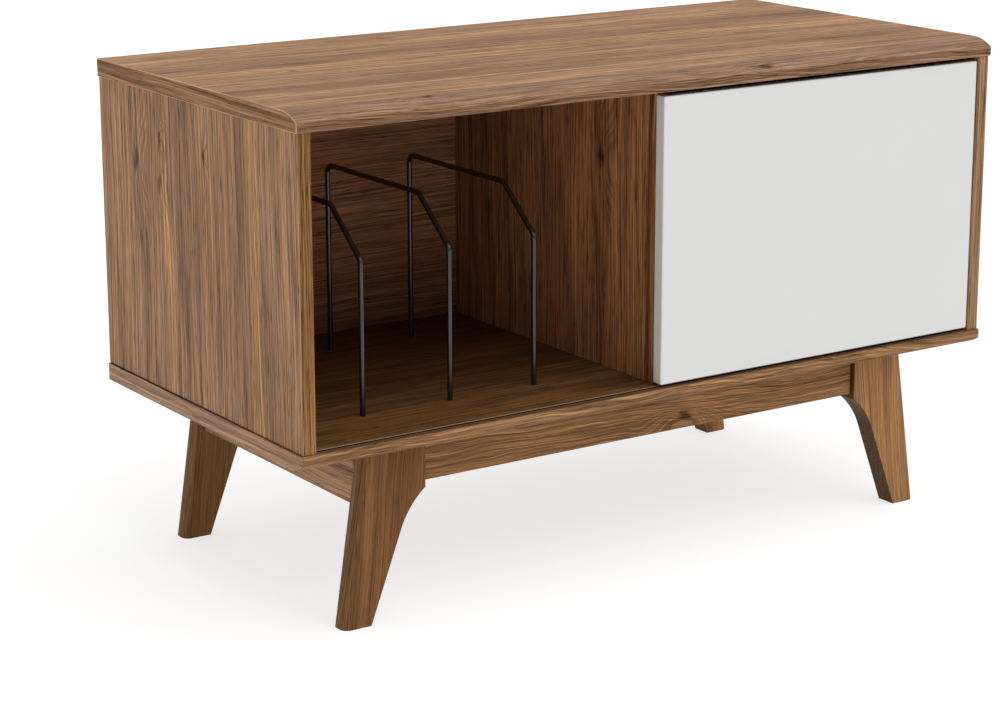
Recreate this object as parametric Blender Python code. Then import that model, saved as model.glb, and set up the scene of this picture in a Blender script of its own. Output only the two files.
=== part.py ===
"""Low record display stand: a walnut cabinet on splayed legs, with wire dividers and one sliding door.

Metres, +Z up, +X to the right of someone facing the stand, -Y to its front. The origin is on the
floor, under the middle of the stand.
"""
import math

import bmesh
import bpy
from mathutils import Matrix, Vector

# Overall size
WIDTH = 0.9271
DEPTH = 0.4445
HEIGHT = 0.5588
BASE_HEIGHT = 0.1905        # floor to the underside of the bottom board

# Gaps
SEAT = 0.0003               # left between two pieces that touch
OVERCUT = 0.002             # how far a cut runs past the face that it opens

# Cabinet boards
BOARD_T = 0.020             # top and bottom boards
PANEL_T = 0.015             # side panels and centre divider
BACK_T = 0.005
SIDE_INSET = 0.002          # side panel's outer face, in from the end of the boards
FRONT_INSET = 0.002         # side panel's front edge, behind the front of the boards
BACK_RECESS = 0.0178        # back panel's rear face, in from the rear of the boards
GROOVE_DEPTH = 0.006        # how deep the back panel sits in the boards
NOSE_DEPTH = 0.030          # curved front of the boards, front to back
NOSE_EDGE = 0.0105          # upright front edge that the curve leaves
NOSE_STEPS = 8

# Sliding door
DOOR_T = 0.015
DOOR_SETBACK = 0.002        # behind the front of the boards
DOOR_LAP = 0.012            # past the middle of the divider, when the door is shut
DOOR_SIDE_GAP = 0.0025
DOOR_TOP_GAP = 0.005
DOOR_BOTTOM_GAP = 0.0038
DOOR_REAR_GAP = 0.0047      # door to the divider's front edge

# Door track, one channel in the floor and one in the ceiling
TRACK_W = 0.010
TRACK_H = 0.007
TRACK_SLOT_W = 0.004
TRACK_SLOT_D = 0.004
TRACK_PROUD = 0.0005        # how far the floor channel stands above the floor

# Door rollers
ROLLER_INSET = 0.060        # from the door's end to the axle
AXLE_RISE = 0.0045          # from the door's bottom edge to the axle
AXLE_R = 0.0015
AXLE_PLAY = 0.0002          # between the axle and the wheel's bore
WHEEL_TRACK_PLAY = 0.0005   # each side of the wheel, in its channel
WHEEL_CHAMFER = 0.00075
WHEEL_ROOM = 0.001          # round the wheel, in its housing
WHEEL_SIDE_PLAY = 0.0004    # each side of the wheel, in its housing
HOUSING_CHEEK = 0.0026      # each side of the wheel
HOUSING_WALL = 0.004        # past the ends and the top of the wheel
WHEEL_SIDES = 32

# Sprung guides in the door's top edge
GUIDE_INSET = 0.060         # from the door's end to the pin
PIN_TRACK_PLAY = 0.0005     # each side of the pin, in its channel
PIN_HEADROOM = 0.0012       # between the pin's tip and the bed of its channel
PIN_TIP_STEPS = 3           # along the round of the tip
PIN_SHOULDER_R = 0.003
PIN_SHOULDER_H = 0.003
PIN_SPIGOT_PLAY = 0.0008    # between the spigot and the spring
PIN_SPIGOT_H = 0.004
BUSH_WALL = 0.0012
BUSH_L = 0.028              # below the door's top edge
BUSH_LIP = 0.002            # below the door's top edge, over the pin's shoulder
BUSH_FLANGE_W = 0.0015
BUSH_FLANGE_T = 0.0015
SPRING_WIRE_R = 0.00035
SPRING_PLAY = 0.0004        # between the spring and the bush
SPRING_TURNS = 7
SPRING_POINTS = 9           # along one turn
SPRING_SIDES = 6
GUIDE_SIDES = 16

# Wire record dividers
WIRE_COUNT = 3
WIRE_R = 0.003
WIRE_SPAN = 0.255           # between the two uprights
WIRE_REAR_RISE = 0.2185     # floor to the top run
WIRE_FRONT_RISE = 0.1685    # floor to the foot of the slope
WIRE_TOP_RUN = 0.1945       # rear upright to the head of the slope
WIRE_BEND_R = 0.010
WIRE_BEND_STEPS = 5
WIRE_SKIN = 0.010           # wood left under an upright's socket
WIRE_SIDES = 12

# Base frame
LEG_T = 0.0257
LEG_TOP_W = 0.0735
LEG_FOOT_W = 0.034
LEG_LEAN = 0.029            # how far the outer edge leans out from top to foot
LEG_SIDE_INSET = 0.0925     # leg's outer top corner, in from the end of the board
LEG_FRONT_INSET = 0.0333    # front leg's face, behind the front of the board
LEG_REAR_INSET = 0.0253
LEG_SHOULDER = 0.049        # upright part of the inner edge, down from the top
ARCH_W = 0.0305             # curve under the shoulder
ARCH_H = 0.041
ARCH_STEPS = 6
LEG_ROUND = 0.010           # rounding of the two outer arrises
LEG_FLAT = 0.002            # least flat that the two roundings leave between them
LEG_ROUND_STEPS = 4
APRON_H = 0.0435
APRON_T = 0.018
APRON_SETBACK = 0.006       # apron's face, behind the faces of the legs
RAIL_H = 0.063
RAIL_T = 0.018
RAIL_SETBACK = 0.001        # rail's face, in from the outer top corner of the legs
TENON_L = 0.012
TENON_SHOULDER = 0.005

# Fasteners
FASTENER_FRONT_INSET = 0.070
FASTENER_REAR_INSET = 0.090
CAM_R = 0.0075
CAM_SKIN = 0.003            # wood left behind the cam lock
CAM_DROP = 0.034            # ceiling to the cam lock's centre
CAM_CROSS_L = 0.009
CAM_CROSS_W = 0.0018
CAM_CROSS_D = 0.0015
BOLT_R = 0.0035
BOLT_NECK_R = 0.002
BOLT_HEAD_H = 0.003
BOLT_NECK_H = 0.007
BOLT_SKIN = 0.009           # wood left over the bolt in the top board
BOLT_CHAMFER = 0.0008
SCREW_R = 0.0035
SCREW_L = 0.050
SCREW_HEAD_R = 0.005
SCREW_HEAD_H = 0.004
SCREW_SOCKET_R = 0.002
SCREW_SOCKET_D = 0.0025
SCREW_POINT = 0.006
STUD_R = 0.003
STUD_SKIN = 0.007           # wood left over the stud in the bottom board
STUD_IN_LEG = 0.030
STUD_CHAMFER = 0.0008
FASTENER_SIDES = 12
CAM_SIDES = 20

# Places worked out from the sizes
HALF_W = WIDTH / 2
FRONT_Y = -DEPTH / 2
REAR_Y = DEPTH / 2
FLOOR_Z = BASE_HEIGHT + BOARD_T
CEILING_Z = HEIGHT - BOARD_T
SIDE_OUT_X = HALF_W - SIDE_INSET
SIDE_IN_X = SIDE_OUT_X - PANEL_T
SIDE_MID_X = SIDE_OUT_X - PANEL_T / 2
BACK_Y = REAR_Y - BACK_RECESS - BACK_T
DOOR_Y = FRONT_Y + DOOR_SETBACK + DOOR_T / 2
DIVIDER_FRONT_Y = DOOR_Y + DOOR_T / 2 + DOOR_REAR_GAP
DOOR_LEFT_X = -DOOR_LAP
DOOR_RIGHT_X = SIDE_IN_X - DOOR_SIDE_GAP
DOOR_LOW_Z = FLOOR_Z + DOOR_BOTTOM_GAP
DOOR_HIGH_Z = CEILING_Z - DOOR_TOP_GAP
AXLE_Z = DOOR_LOW_Z + AXLE_RISE
WHEEL_R = AXLE_Z - (FLOOR_Z + TRACK_PROUD - TRACK_SLOT_D) - SEAT
WHEEL_T = TRACK_SLOT_W - 2 * WHEEL_TRACK_PLAY
HOUSING_W = WHEEL_T + 2 * (WHEEL_SIDE_PLAY + HOUSING_CHEEK)
PIN_R = TRACK_SLOT_W / 2 - PIN_TRACK_PLAY
BUSH_BORE_R = PIN_SHOULDER_R + SEAT
BUSH_R = BUSH_BORE_R + BUSH_WALL
SPRING_R = BUSH_BORE_R - SPRING_PLAY - SPRING_WIRE_R
PIN_SPIGOT_R = SPRING_R - SPRING_WIRE_R - PIN_SPIGOT_PLAY
WIRE_FOOT_Z = BASE_HEIGHT + WIRE_SKIN + SEAT
LEG_TOP_Z = BASE_HEIGHT - SEAT
LEG_OUT_X = HALF_W - LEG_SIDE_INSET
LEG_IN_X = LEG_OUT_X - LEG_TOP_W
FRONT_LEG_Y = FRONT_Y + LEG_FRONT_INSET + LEG_T / 2
REAR_LEG_Y = REAR_Y - LEG_REAR_INSET - LEG_T / 2
RAIL_X = LEG_OUT_X - RAIL_SETBACK - RAIL_T / 2
APRON_OFFSET = LEG_T / 2 - APRON_SETBACK - APRON_T / 2
BOLT_BITE = BOARD_T - BOLT_SKIN - SEAT
STUD_IN_BOARD = BOARD_T - STUD_SKIN - SEAT
FASTENER_YS = {"front": FRONT_Y + FASTENER_FRONT_INSET, "rear": REAR_Y - FASTENER_REAR_INSET}
UPRIGHT_XS = {"left": -SIDE_MID_X, "centre": 0.0, "right": SIDE_MID_X}

# Finishes: colour, roughness, metallic
FINISHES = {
    "walnut": ((0.27, 0.15, 0.08), 0.45, 0.0),
    "white_lacquer": ((0.82, 0.82, 0.82), 0.12, 0.0),
    "black_wire": ((0.012, 0.012, 0.013), 0.38, 0.0),
    "brown_plastic": ((0.10, 0.055, 0.035), 0.40, 0.0),
    "nylon": ((0.030, 0.026, 0.024), 0.45, 0.0),
    "zinc": ((0.62, 0.62, 0.60), 0.32, 1.0),
    "steel": ((0.55, 0.55, 0.56), 0.28, 1.0),
}
SMOOTH_ANGLE = math.radians(40)
ROUND_PROFILE = 0.5         # bevel profile that gives a round arris
MERGE = 0.000001


# Building blocks


def clear_scene():
    """Remove what the file holds, so that the script can run again."""
    for existing in list(bpy.data.objects):
        bpy.data.objects.remove(existing, do_unlink=True)


def finish(name):
    """The material of that name, made on first use."""
    material = bpy.data.materials.get(name)
    if material is None:
        colour, roughness, metallic = FINISHES[name]
        material = bpy.data.materials.new(name)
        material.use_nodes = True
        shader = material.node_tree.nodes["Principled BSDF"]
        shader.inputs["Base Color"].default_value = (*colour, 1.0)
        shader.inputs["Roughness"].default_value = roughness
        shader.inputs["Metallic"].default_value = metallic
    return material


def empty(name, place):
    """An empty that carries the pieces of one moving body."""
    carrier = bpy.data.objects.new(name, None)
    carrier.location = place
    carrier.empty_display_size = PANEL_T
    bpy.context.scene.collection.objects.link(carrier)
    return carrier


def add(name, shape, finish_name, origin, parent=None, smooth=False):
    """Turn a shape in world coordinates into a piece whose own origin is at the given point."""
    bmesh.ops.recalc_face_normals(shape, faces=shape.faces)
    bmesh.ops.translate(shape, verts=shape.verts, vec=-Vector(origin))
    mesh = bpy.data.meshes.new(name)
    shape.to_mesh(mesh)
    shape.free()
    if smooth:
        mesh.shade_smooth()
        mesh.set_sharp_from_angle(angle=SMOOTH_ANGLE)
    mesh.materials.append(finish(finish_name))
    piece = bpy.data.objects.new(name, mesh)
    bpy.context.scene.collection.objects.link(piece)
    piece.location = Vector(origin)
    if parent:
        piece.parent = parent
        piece.location = Vector(origin) - parent.location
    return piece


def cut(piece, shape):
    """Take a closed shape in world coordinates out of a piece."""
    bmesh.ops.recalc_face_normals(shape, faces=shape.faces)
    mesh = bpy.data.meshes.new(piece.name + "_cut")
    shape.to_mesh(mesh)
    shape.free()
    cutter = bpy.data.objects.new(piece.name + "_cut", mesh)
    bpy.context.scene.collection.objects.link(cutter)
    cutter.hide_render = True
    cutter.display_type = "WIRE"
    modifier = piece.modifiers.new("cut", "BOOLEAN")
    modifier.operation = "DIFFERENCE"
    modifier.object = cutter


def box(low, high):
    """A block between two corners."""
    shape = bmesh.new()
    size = Vector(high) - Vector(low)
    middle = (Vector(high) + Vector(low)) / 2
    place = Matrix.Translation(middle) @ Matrix.Diagonal((*size, 1.0))
    bmesh.ops.create_cube(shape, size=1.0, matrix=place)
    return shape


def extrude(corners, travel):
    """A closed outline of 3-D corners, drawn out along a straight line."""
    shape = bmesh.new()
    face = shape.faces.new([shape.verts.new(corner) for corner in corners])
    grown = bmesh.ops.extrude_face_region(shape, geom=[face])
    moved = [item for item in grown["geom"] if isinstance(item, bmesh.types.BMVert)]
    bmesh.ops.translate(shape, verts=moved, vec=travel)
    return shape


def turn(profile, sides, closed=False):
    """Turn a profile of (radius, height) points about Z. An open profile ends on the axis."""
    shape = bmesh.new()
    points = [shape.verts.new((radius, 0.0, height)) for radius, height in profile]
    edges = [shape.edges.new(pair) for pair in zip(points, points[1:])]
    if closed:
        edges.append(shape.edges.new((points[-1], points[0])))
    bmesh.ops.spin(shape, geom=points + edges, axis=(0, 0, 1), cent=(0, 0, 0),
                   angle=2 * math.pi, steps=sides)
    bmesh.ops.remove_doubles(shape, verts=shape.verts, dist=MERGE)
    return shape


def rod(start, end, radius, sides):
    """A round bar between two points."""
    axis = Vector(end) - Vector(start)
    shape = turn([(0, 0), (radius, 0), (radius, axis.length), (0, axis.length)], sides)
    return place(shape, start, axis)


def place(shape, foot, axis=(0, 0, 1)):
    """Stand a turned shape on a point, along an axis."""
    turned = Vector((0, 0, 1)).rotation_difference(Vector(axis)).to_matrix().to_4x4()
    bmesh.ops.transform(shape, verts=shape.verts, matrix=Matrix.Translation(foot) @ turned)
    return shape


def sweep(path, radius, sides, outward):
    """A round tube with flat ends along a path. outward gives a direction square to the path."""
    shape = bmesh.new()
    rings = []
    last = len(path) - 1
    for index, point in enumerate(path):
        along = (path[min(index + 1, last)] - path[max(index - 1, 0)]).normalized()
        across = outward(point).normalized()
        up = along.cross(across).normalized()
        across = up.cross(along)
        ring = []
        for side in range(sides):
            angle = 2 * math.pi * side / sides
            offset = across * math.cos(angle) + up * math.sin(angle)
            ring.append(shape.verts.new(point + offset * radius))
        rings.append(ring)
    for ring, following in zip(rings, rings[1:]):
        for side in range(sides):
            after = (side + 1) % sides
            shape.faces.new((ring[side], ring[after], following[after], following[side]))
    shape.faces.new(rings[0])
    shape.faces.new(rings[-1])
    return shape


def rounded_path(corners, radius, steps):
    """A path through corners, with each inner corner turned into an arc."""
    path = [corners[0]]
    for before, corner, after in zip(corners, corners[1:], corners[2:]):
        back = (before - corner).normalized()
        onward = (after - corner).normalized()
        half = back.angle(onward) / 2
        centre = corner + (back + onward).normalized() * radius / math.sin(half)
        start = (corner + back * radius / math.tan(half) - centre).normalized()
        end = (corner + onward * radius / math.tan(half) - centre).normalized()
        for step in range(steps + 1):
            path.append(centre + start.slerp(end, step / steps).normalized() * radius)
    path.append(corners[-1])
    return path


# Cabinet


def nosed_board(name, flat_z, nose_z):
    """A full-size board with its nose on the face at nose_z. The other face is at flat_z."""
    up = 1 if nose_z > flat_z else -1
    fall = BOARD_T - NOSE_EDGE
    radius = (NOSE_DEPTH ** 2 + fall ** 2) / (2 * fall)
    sweep_angle = math.asin(NOSE_DEPTH / radius)
    outline = [(FRONT_Y, flat_z), (REAR_Y, flat_z), (REAR_Y, nose_z)]
    for step in range(NOSE_STEPS + 1):
        angle = sweep_angle * step / NOSE_STEPS
        y = FRONT_Y + NOSE_DEPTH - radius * math.sin(angle)
        z = nose_z - up * radius * (1 - math.cos(angle))
        outline.append((y, z))
    corners = [(-HALF_W, y, z) for y, z in outline]
    middle = (0, 0, (flat_z + nose_z) / 2)
    return add(name, extrude(corners, (WIDTH, 0, 0)), "walnut", middle)


def track_cut(face_z, depth_z):
    """The slot that a door channel is let into."""
    half = TRACK_W / 2 + SEAT
    low = min(face_z, depth_z)
    high = max(face_z, depth_z)
    return box((-SIDE_IN_X, DOOR_Y - half, low), (SIDE_IN_X, DOOR_Y + half, high))


def back_cut(face_z, depth_z):
    """The groove across a board that the back panel sits in."""
    reach = SIDE_IN_X + GROOVE_DEPTH
    low = min(face_z, depth_z)
    high = max(face_z, depth_z)
    return box((-reach, BACK_Y - SEAT, low), (reach, BACK_Y + BACK_T + SEAT, high))


def make_top_panel():
    """The top board, with its channel slot, back groove and bolt bores."""
    top = nosed_board("top_panel", CEILING_Z, HEIGHT)
    cut(top, track_cut(CEILING_Z - OVERCUT, CEILING_Z + TRACK_H + SEAT))
    cut(top, back_cut(CEILING_Z - OVERCUT, CEILING_Z + GROOVE_DEPTH))
    for x in UPRIGHT_XS.values():
        for y in FASTENER_YS.values():
            foot = (x, y, CEILING_Z - OVERCUT)
            head = (x, y, CEILING_Z + BOLT_BITE + SEAT)
            cut(top, rod(foot, head, BOLT_R + SEAT, FASTENER_SIDES))


def screw_hole():
    """A stepped hole through the bottom board, from its underside, for a screw and its head."""
    head_r = SCREW_HEAD_R + SEAT
    shank_r = SCREW_R + SEAT
    seat = SCREW_HEAD_H + SEAT
    through = BOARD_T + OVERCUT
    return turn([(0, -OVERCUT), (head_r, -OVERCUT), (head_r, seat), (shank_r, seat),
                 (shank_r, through), (0, through)], FASTENER_SIDES)


def make_bottom_panel():
    """The bottom board, with its channel slot, back groove, wire sockets and fastener holes."""
    bottom = nosed_board("bottom_panel", FLOOR_Z, BASE_HEIGHT)
    cut(bottom, track_cut(FLOOR_Z + OVERCUT, FLOOR_Z + TRACK_PROUD - TRACK_H - SEAT))
    cut(bottom, back_cut(FLOOR_Z + OVERCUT, FLOOR_Z - GROOVE_DEPTH))
    for x in wire_places():
        for y in (-WIRE_SPAN / 2, WIRE_SPAN / 2):
            foot = (x, y, BASE_HEIGHT + WIRE_SKIN)
            cut(bottom, rod(foot, (x, y, FLOOR_Z + OVERCUT), WIRE_R + SEAT, WIRE_SIDES))
    for x in UPRIGHT_XS.values():
        for y in FASTENER_YS.values():
            cut(bottom, place(screw_hole(), (x, y, BASE_HEIGHT)))
    for x, y in leg_places().values():
        stud_x = math.copysign(LEG_OUT_X - LEG_TOP_W / 2, x)
        below = (stud_x, y, BASE_HEIGHT - OVERCUT)
        head = (stud_x, y, BASE_HEIGHT + STUD_IN_BOARD + SEAT)
        cut(bottom, rod(below, head, STUD_R + SEAT, FASTENER_SIDES))


def upright(name, low, high, cam_face_x, cam_way):
    """A panel between the boards, bored for its cam locks, bolts and screws.

    cam_face_x is the face that the cam locks are let into, and cam_way points out of it.
    """
    middle = (Vector(low) + Vector(high)) / 2
    panel = add(name, box(low, high), "walnut", middle)
    mouth_x = cam_face_x + cam_way * OVERCUT
    deep_x = cam_face_x - cam_way * (PANEL_T - CAM_SKIN + SEAT)
    cam_z = CEILING_Z - CAM_DROP
    for y in FASTENER_YS.values():
        cut(panel, rod((mouth_x, y, cam_z), (deep_x, y, cam_z), CAM_R + SEAT, CAM_SIDES))
        above = (middle.x, y, CEILING_Z + OVERCUT)
        cut(panel, rod((middle.x, y, cam_z), above, BOLT_R + SEAT, FASTENER_SIDES))
        below = (middle.x, y, FLOOR_Z - OVERCUT)
        tip = (middle.x, y, BASE_HEIGHT + SCREW_L + SEAT)
        cut(panel, rod(below, tip, SCREW_R + SEAT, FASTENER_SIDES))
    return panel


def make_sides():
    """The two side panels, grooved for the back panel."""
    for name, way in (("left_side_panel", 1), ("right_side_panel", -1)):
        inner = -way * SIDE_IN_X
        outer = -way * SIDE_OUT_X
        low = (min(inner, outer), FRONT_Y + FRONT_INSET, FLOOR_Z + SEAT)
        high = (max(inner, outer), REAR_Y, CEILING_Z - SEAT)
        panel = upright(name, low, high, inner, way)
        mouth = inner + way * OVERCUT
        end = inner - way * GROOVE_DEPTH
        cut(panel, box((min(mouth, end), BACK_Y - SEAT, FLOOR_Z - OVERCUT),
                       (max(mouth, end), BACK_Y + BACK_T + SEAT, CEILING_Z + OVERCUT)))


def make_divider():
    """The upright between the open bay and the closed bay."""
    low = (-PANEL_T / 2, DIVIDER_FRONT_Y, FLOOR_Z + SEAT)
    high = (PANEL_T / 2, BACK_Y - SEAT, CEILING_Z - SEAT)
    upright("centre_divider", low, high, PANEL_T / 2, 1)


def make_back_panel():
    """The thin panel in the grooves of the boards and sides."""
    reach = SIDE_IN_X + GROOVE_DEPTH - SEAT
    low = (-reach, BACK_Y, FLOOR_Z - GROOVE_DEPTH + SEAT)
    high = (reach, BACK_Y + BACK_T, CEILING_Z + GROOVE_DEPTH - SEAT)
    middle = (Vector(low) + Vector(high)) / 2
    add("back_panel", box(low, high), "walnut", middle)


# Wire record dividers


def wire_places():
    """The X of each wire, spread evenly over the open bay."""
    left = -SIDE_IN_X
    right = -PANEL_T / 2
    step = (right - left) / (WIRE_COUNT + 1)
    return [left + step * (index + 1) for index in range(WIRE_COUNT)]


def make_wires():
    """Each divider is one bent rod, with its two ends in the floor."""
    rear = WIRE_SPAN / 2
    front = -WIRE_SPAN / 2
    for number, x in enumerate(wire_places(), start=1):
        corners = [
            Vector((x, rear, WIRE_FOOT_Z)),
            Vector((x, rear, FLOOR_Z + WIRE_REAR_RISE)),
            Vector((x, rear - WIRE_TOP_RUN, FLOOR_Z + WIRE_REAR_RISE)),
            Vector((x, front, FLOOR_Z + WIRE_FRONT_RISE)),
            Vector((x, front, WIRE_FOOT_Z)),
        ]
        path = rounded_path(corners, WIRE_BEND_R, WIRE_BEND_STEPS)
        shape = sweep(path, WIRE_R, WIRE_SIDES, lambda point: Vector((1, 0, 0)))
        add("wire_divider_" + str(number), shape, "black_wire", (x, 0, FLOOR_Z), smooth=True)


# Base frame


def leg_places():
    """The outer top corner's X and the middle Y of each leg."""
    return {
        "front_left_leg": (-LEG_OUT_X, FRONT_LEG_Y),
        "front_right_leg": (LEG_OUT_X, FRONT_LEG_Y),
        "rear_left_leg": (-LEG_OUT_X, REAR_LEG_Y),
        "rear_right_leg": (LEG_OUT_X, REAR_LEG_Y),
    }


def leg_outline():
    """A right leg seen from the front, as (outward, up) from under its outer top corner."""
    foot = Vector((LEG_LEAN - LEG_FOOT_W, 0))
    arch_end = Vector((ARCH_W - LEG_TOP_W, LEG_TOP_Z - LEG_SHOULDER - ARCH_H))
    arch_start = Vector((-LEG_TOP_W, LEG_TOP_Z - LEG_SHOULDER))
    slope = (foot - arch_end).normalized()
    inward = Vector((slope.y, -slope.x))
    chord = arch_start - arch_end
    radius = chord.length_squared / (2 * chord.dot(inward))
    centre = arch_end + inward * radius
    first = arch_end - centre
    turn_by = first.angle_signed(arch_start - centre)
    outline = [Vector((0, LEG_TOP_Z)), Vector((LEG_LEAN, 0)), foot]
    for step in range(ARCH_STEPS + 1):
        spoke = first.copy()
        spoke.rotate(Matrix.Rotation(-turn_by * step / ARCH_STEPS, 2))
        outline.append(centre + spoke)
    outline.append(Vector((-LEG_TOP_W, LEG_TOP_Z)))
    return outline


def make_leg(name, out_x, mid_y, inner_way):
    """One splayed leg. inner_way is the Y direction of the rail that is let into it."""
    way = math.copysign(1, out_x)
    corners = [(out_x + way * out, mid_y - LEG_T / 2, up) for out, up in leg_outline()]
    shape = extrude(corners, (0, LEG_T, 0))
    arrises = []
    for edge in shape.edges:
        ends = sorted(abs(vert.co.x) - LEG_OUT_X for vert in edge.verts)
        along = edge.verts[0].co.y == edge.verts[1].co.y
        if along and abs(ends[0]) < MERGE and abs(ends[1] - LEG_LEAN) < MERGE:
            arrises.append(edge)
    rounding = min(LEG_ROUND, (LEG_T - LEG_FLAT) / 2)
    bmesh.ops.bevel(shape, geom=arrises, offset=rounding, segments=LEG_ROUND_STEPS,
                    profile=ROUND_PROFILE, affect="EDGES", offset_type="OFFSET")
    leg = add(name, shape, "walnut", (out_x, mid_y, 0), smooth=True)

    stud_x = out_x - way * LEG_TOP_W / 2
    cut(leg, rod((stud_x, mid_y, BASE_HEIGHT - STUD_IN_LEG - SEAT),
                 (stud_x, mid_y, BASE_HEIGHT + OVERCUT), STUD_R + SEAT, FASTENER_SIDES))

    half_t = APRON_T / 2 - TENON_SHOULDER + SEAT
    apron_y = mid_y - inner_way * APRON_OFFSET
    mouth = way * (LEG_IN_X - OVERCUT)
    end = way * (LEG_IN_X + TENON_L + SEAT)
    low_z = LEG_TOP_Z - APRON_H + TENON_SHOULDER - SEAT
    high_z = LEG_TOP_Z - TENON_SHOULDER + SEAT
    cut(leg, box((min(mouth, end), apron_y - half_t, low_z), (max(mouth, end), apron_y + half_t, high_z)))

    half_t = RAIL_T / 2 - TENON_SHOULDER + SEAT
    rail_x = way * RAIL_X
    mouth = mid_y + inner_way * (LEG_T / 2 + OVERCUT)
    end = mid_y + inner_way * (LEG_T / 2 - TENON_L - SEAT)
    low_z = LEG_TOP_Z - RAIL_H + TENON_SHOULDER - SEAT
    cut(leg, box((rail_x - half_t, min(mouth, end), low_z), (rail_x + half_t, max(mouth, end), high_z)))


def make_legs():
    """The four legs, each let in for its apron and its side rail."""
    for name, (out_x, mid_y) in leg_places().items():
        make_leg(name, out_x, mid_y, 1 if mid_y < 0 else -1)


def tenoned(name, low, high, axis):
    """A bar with a tenon on each end. axis is 0 for a bar along X and 1 for one along Y."""
    shape = box(low, high)
    for way in (-1, 1):
        shape.faces.ensure_lookup_table()
        shape.normal_update()
        end = max(shape.faces, key=lambda face: way * face.calc_center_median()[axis])
        bmesh.ops.inset_region(shape, faces=[end], thickness=TENON_SHOULDER, use_even_offset=True)
        grown = bmesh.ops.extrude_face_region(shape, geom=[end])
        bmesh.ops.delete(shape, geom=[end], context="FACES_ONLY")
        moved = [item for item in grown["geom"] if isinstance(item, bmesh.types.BMVert)]
        travel = Vector((0, 0, 0))
        travel[axis] = way * TENON_L
        bmesh.ops.translate(shape, verts=moved, vec=travel)
    middle = (Vector(low) + Vector(high)) / 2
    add(name, shape, "walnut", middle)


def make_frame_bars():
    """The two aprons between the legs' inner edges, and the two rails from front to rear."""
    reach = LEG_IN_X - SEAT
    for name, leg_y, way in (("front_apron", FRONT_LEG_Y, -1), ("rear_apron", REAR_LEG_Y, 1)):
        mid_y = leg_y + way * APRON_OFFSET
        tenoned(name, (-reach, mid_y - APRON_T / 2, LEG_TOP_Z - APRON_H),
                (reach, mid_y + APRON_T / 2, LEG_TOP_Z), 0)
    front = FRONT_LEG_Y + LEG_T / 2 + SEAT
    rear = REAR_LEG_Y - LEG_T / 2 - SEAT
    for name, mid_x in (("left_side_rail", -RAIL_X), ("right_side_rail", RAIL_X)):
        tenoned(name, (mid_x - RAIL_T / 2, front, LEG_TOP_Z - RAIL_H),
                (mid_x + RAIL_T / 2, rear, LEG_TOP_Z), 1)


# Sliding door


def make_track(name, base_z, way):
    """A channel along the door's path. way points from its base to its open side."""
    half = TRACK_W / 2
    slot = TRACK_SLOT_W / 2
    rim = base_z + way * TRACK_H
    bed = rim - way * TRACK_SLOT_D
    outline = [(-half, base_z), (half, base_z), (half, rim), (slot, rim),
               (slot, bed), (-slot, bed), (-slot, rim), (-half, rim)]
    reach = SIDE_IN_X - SEAT
    corners = [(-reach, DOOR_Y + y, z) for y, z in outline]
    add(name, extrude(corners, (2 * reach, 0, 0)), "brown_plastic", (0, DOOR_Y, base_z))


def make_tracks():
    """The floor channel that the rollers run in, and the ceiling channel that the pins run in."""
    make_track("bottom_track", FLOOR_Z + TRACK_PROUD - TRACK_H, 1)
    make_track("top_track", CEILING_Z + TRACK_H, -1)


def housing_size():
    """A roller housing's half length, half width and height."""
    half_l = WHEEL_R + WHEEL_ROOM + HOUSING_WALL
    height = AXLE_RISE + WHEEL_R + WHEEL_ROOM + HOUSING_WALL
    return half_l, HOUSING_W / 2, height


def make_roller(side, x, door):
    """A housing let into the door's bottom edge, with a wheel on an axle."""
    half_l, half_w, height = housing_size()
    low = (x - half_l, DOOR_Y - half_w, DOOR_LOW_Z)
    high = (x + half_l, DOOR_Y + half_w, DOOR_LOW_Z + height)
    housing = add(side + "_roller_housing", box(low, high), "nylon", (x, DOOR_Y, DOOR_LOW_Z), door)
    room = WHEEL_R + WHEEL_ROOM
    half_slot = WHEEL_T / 2 + WHEEL_SIDE_PLAY
    cut(housing, box((x - room, DOOR_Y - half_slot, DOOR_LOW_Z - OVERCUT),
                     (x + room, DOOR_Y + half_slot, AXLE_Z + room)))
    near = Vector((x, DOOR_Y - half_w, AXLE_Z))
    far = Vector((x, DOOR_Y + half_w, AXLE_Z))
    past = Vector((0, OVERCUT, 0))
    cut(housing, rod(near - past, far + past, AXLE_R + SEAT, FASTENER_SIDES))

    axle = rod(near, far, AXLE_R, FASTENER_SIDES)
    add(side + "_roller_axle", axle, "steel", (x, DOOR_Y, AXLE_Z), door, smooth=True)

    bore = AXLE_R + AXLE_PLAY
    half_t = WHEEL_T / 2
    rim = WHEEL_R - WHEEL_CHAMFER
    tread = half_t - WHEEL_CHAMFER
    profile = [(bore, -half_t), (rim, -half_t), (WHEEL_R, -tread),
               (WHEEL_R, tread), (rim, half_t), (bore, half_t)]
    wheel = place(turn(profile, WHEEL_SIDES, closed=True), (x, DOOR_Y, AXLE_Z), (0, 1, 0))
    add(side + "_roller_wheel", wheel, "nylon", (x, DOOR_Y, AXLE_Z), door, smooth=True)


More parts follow.
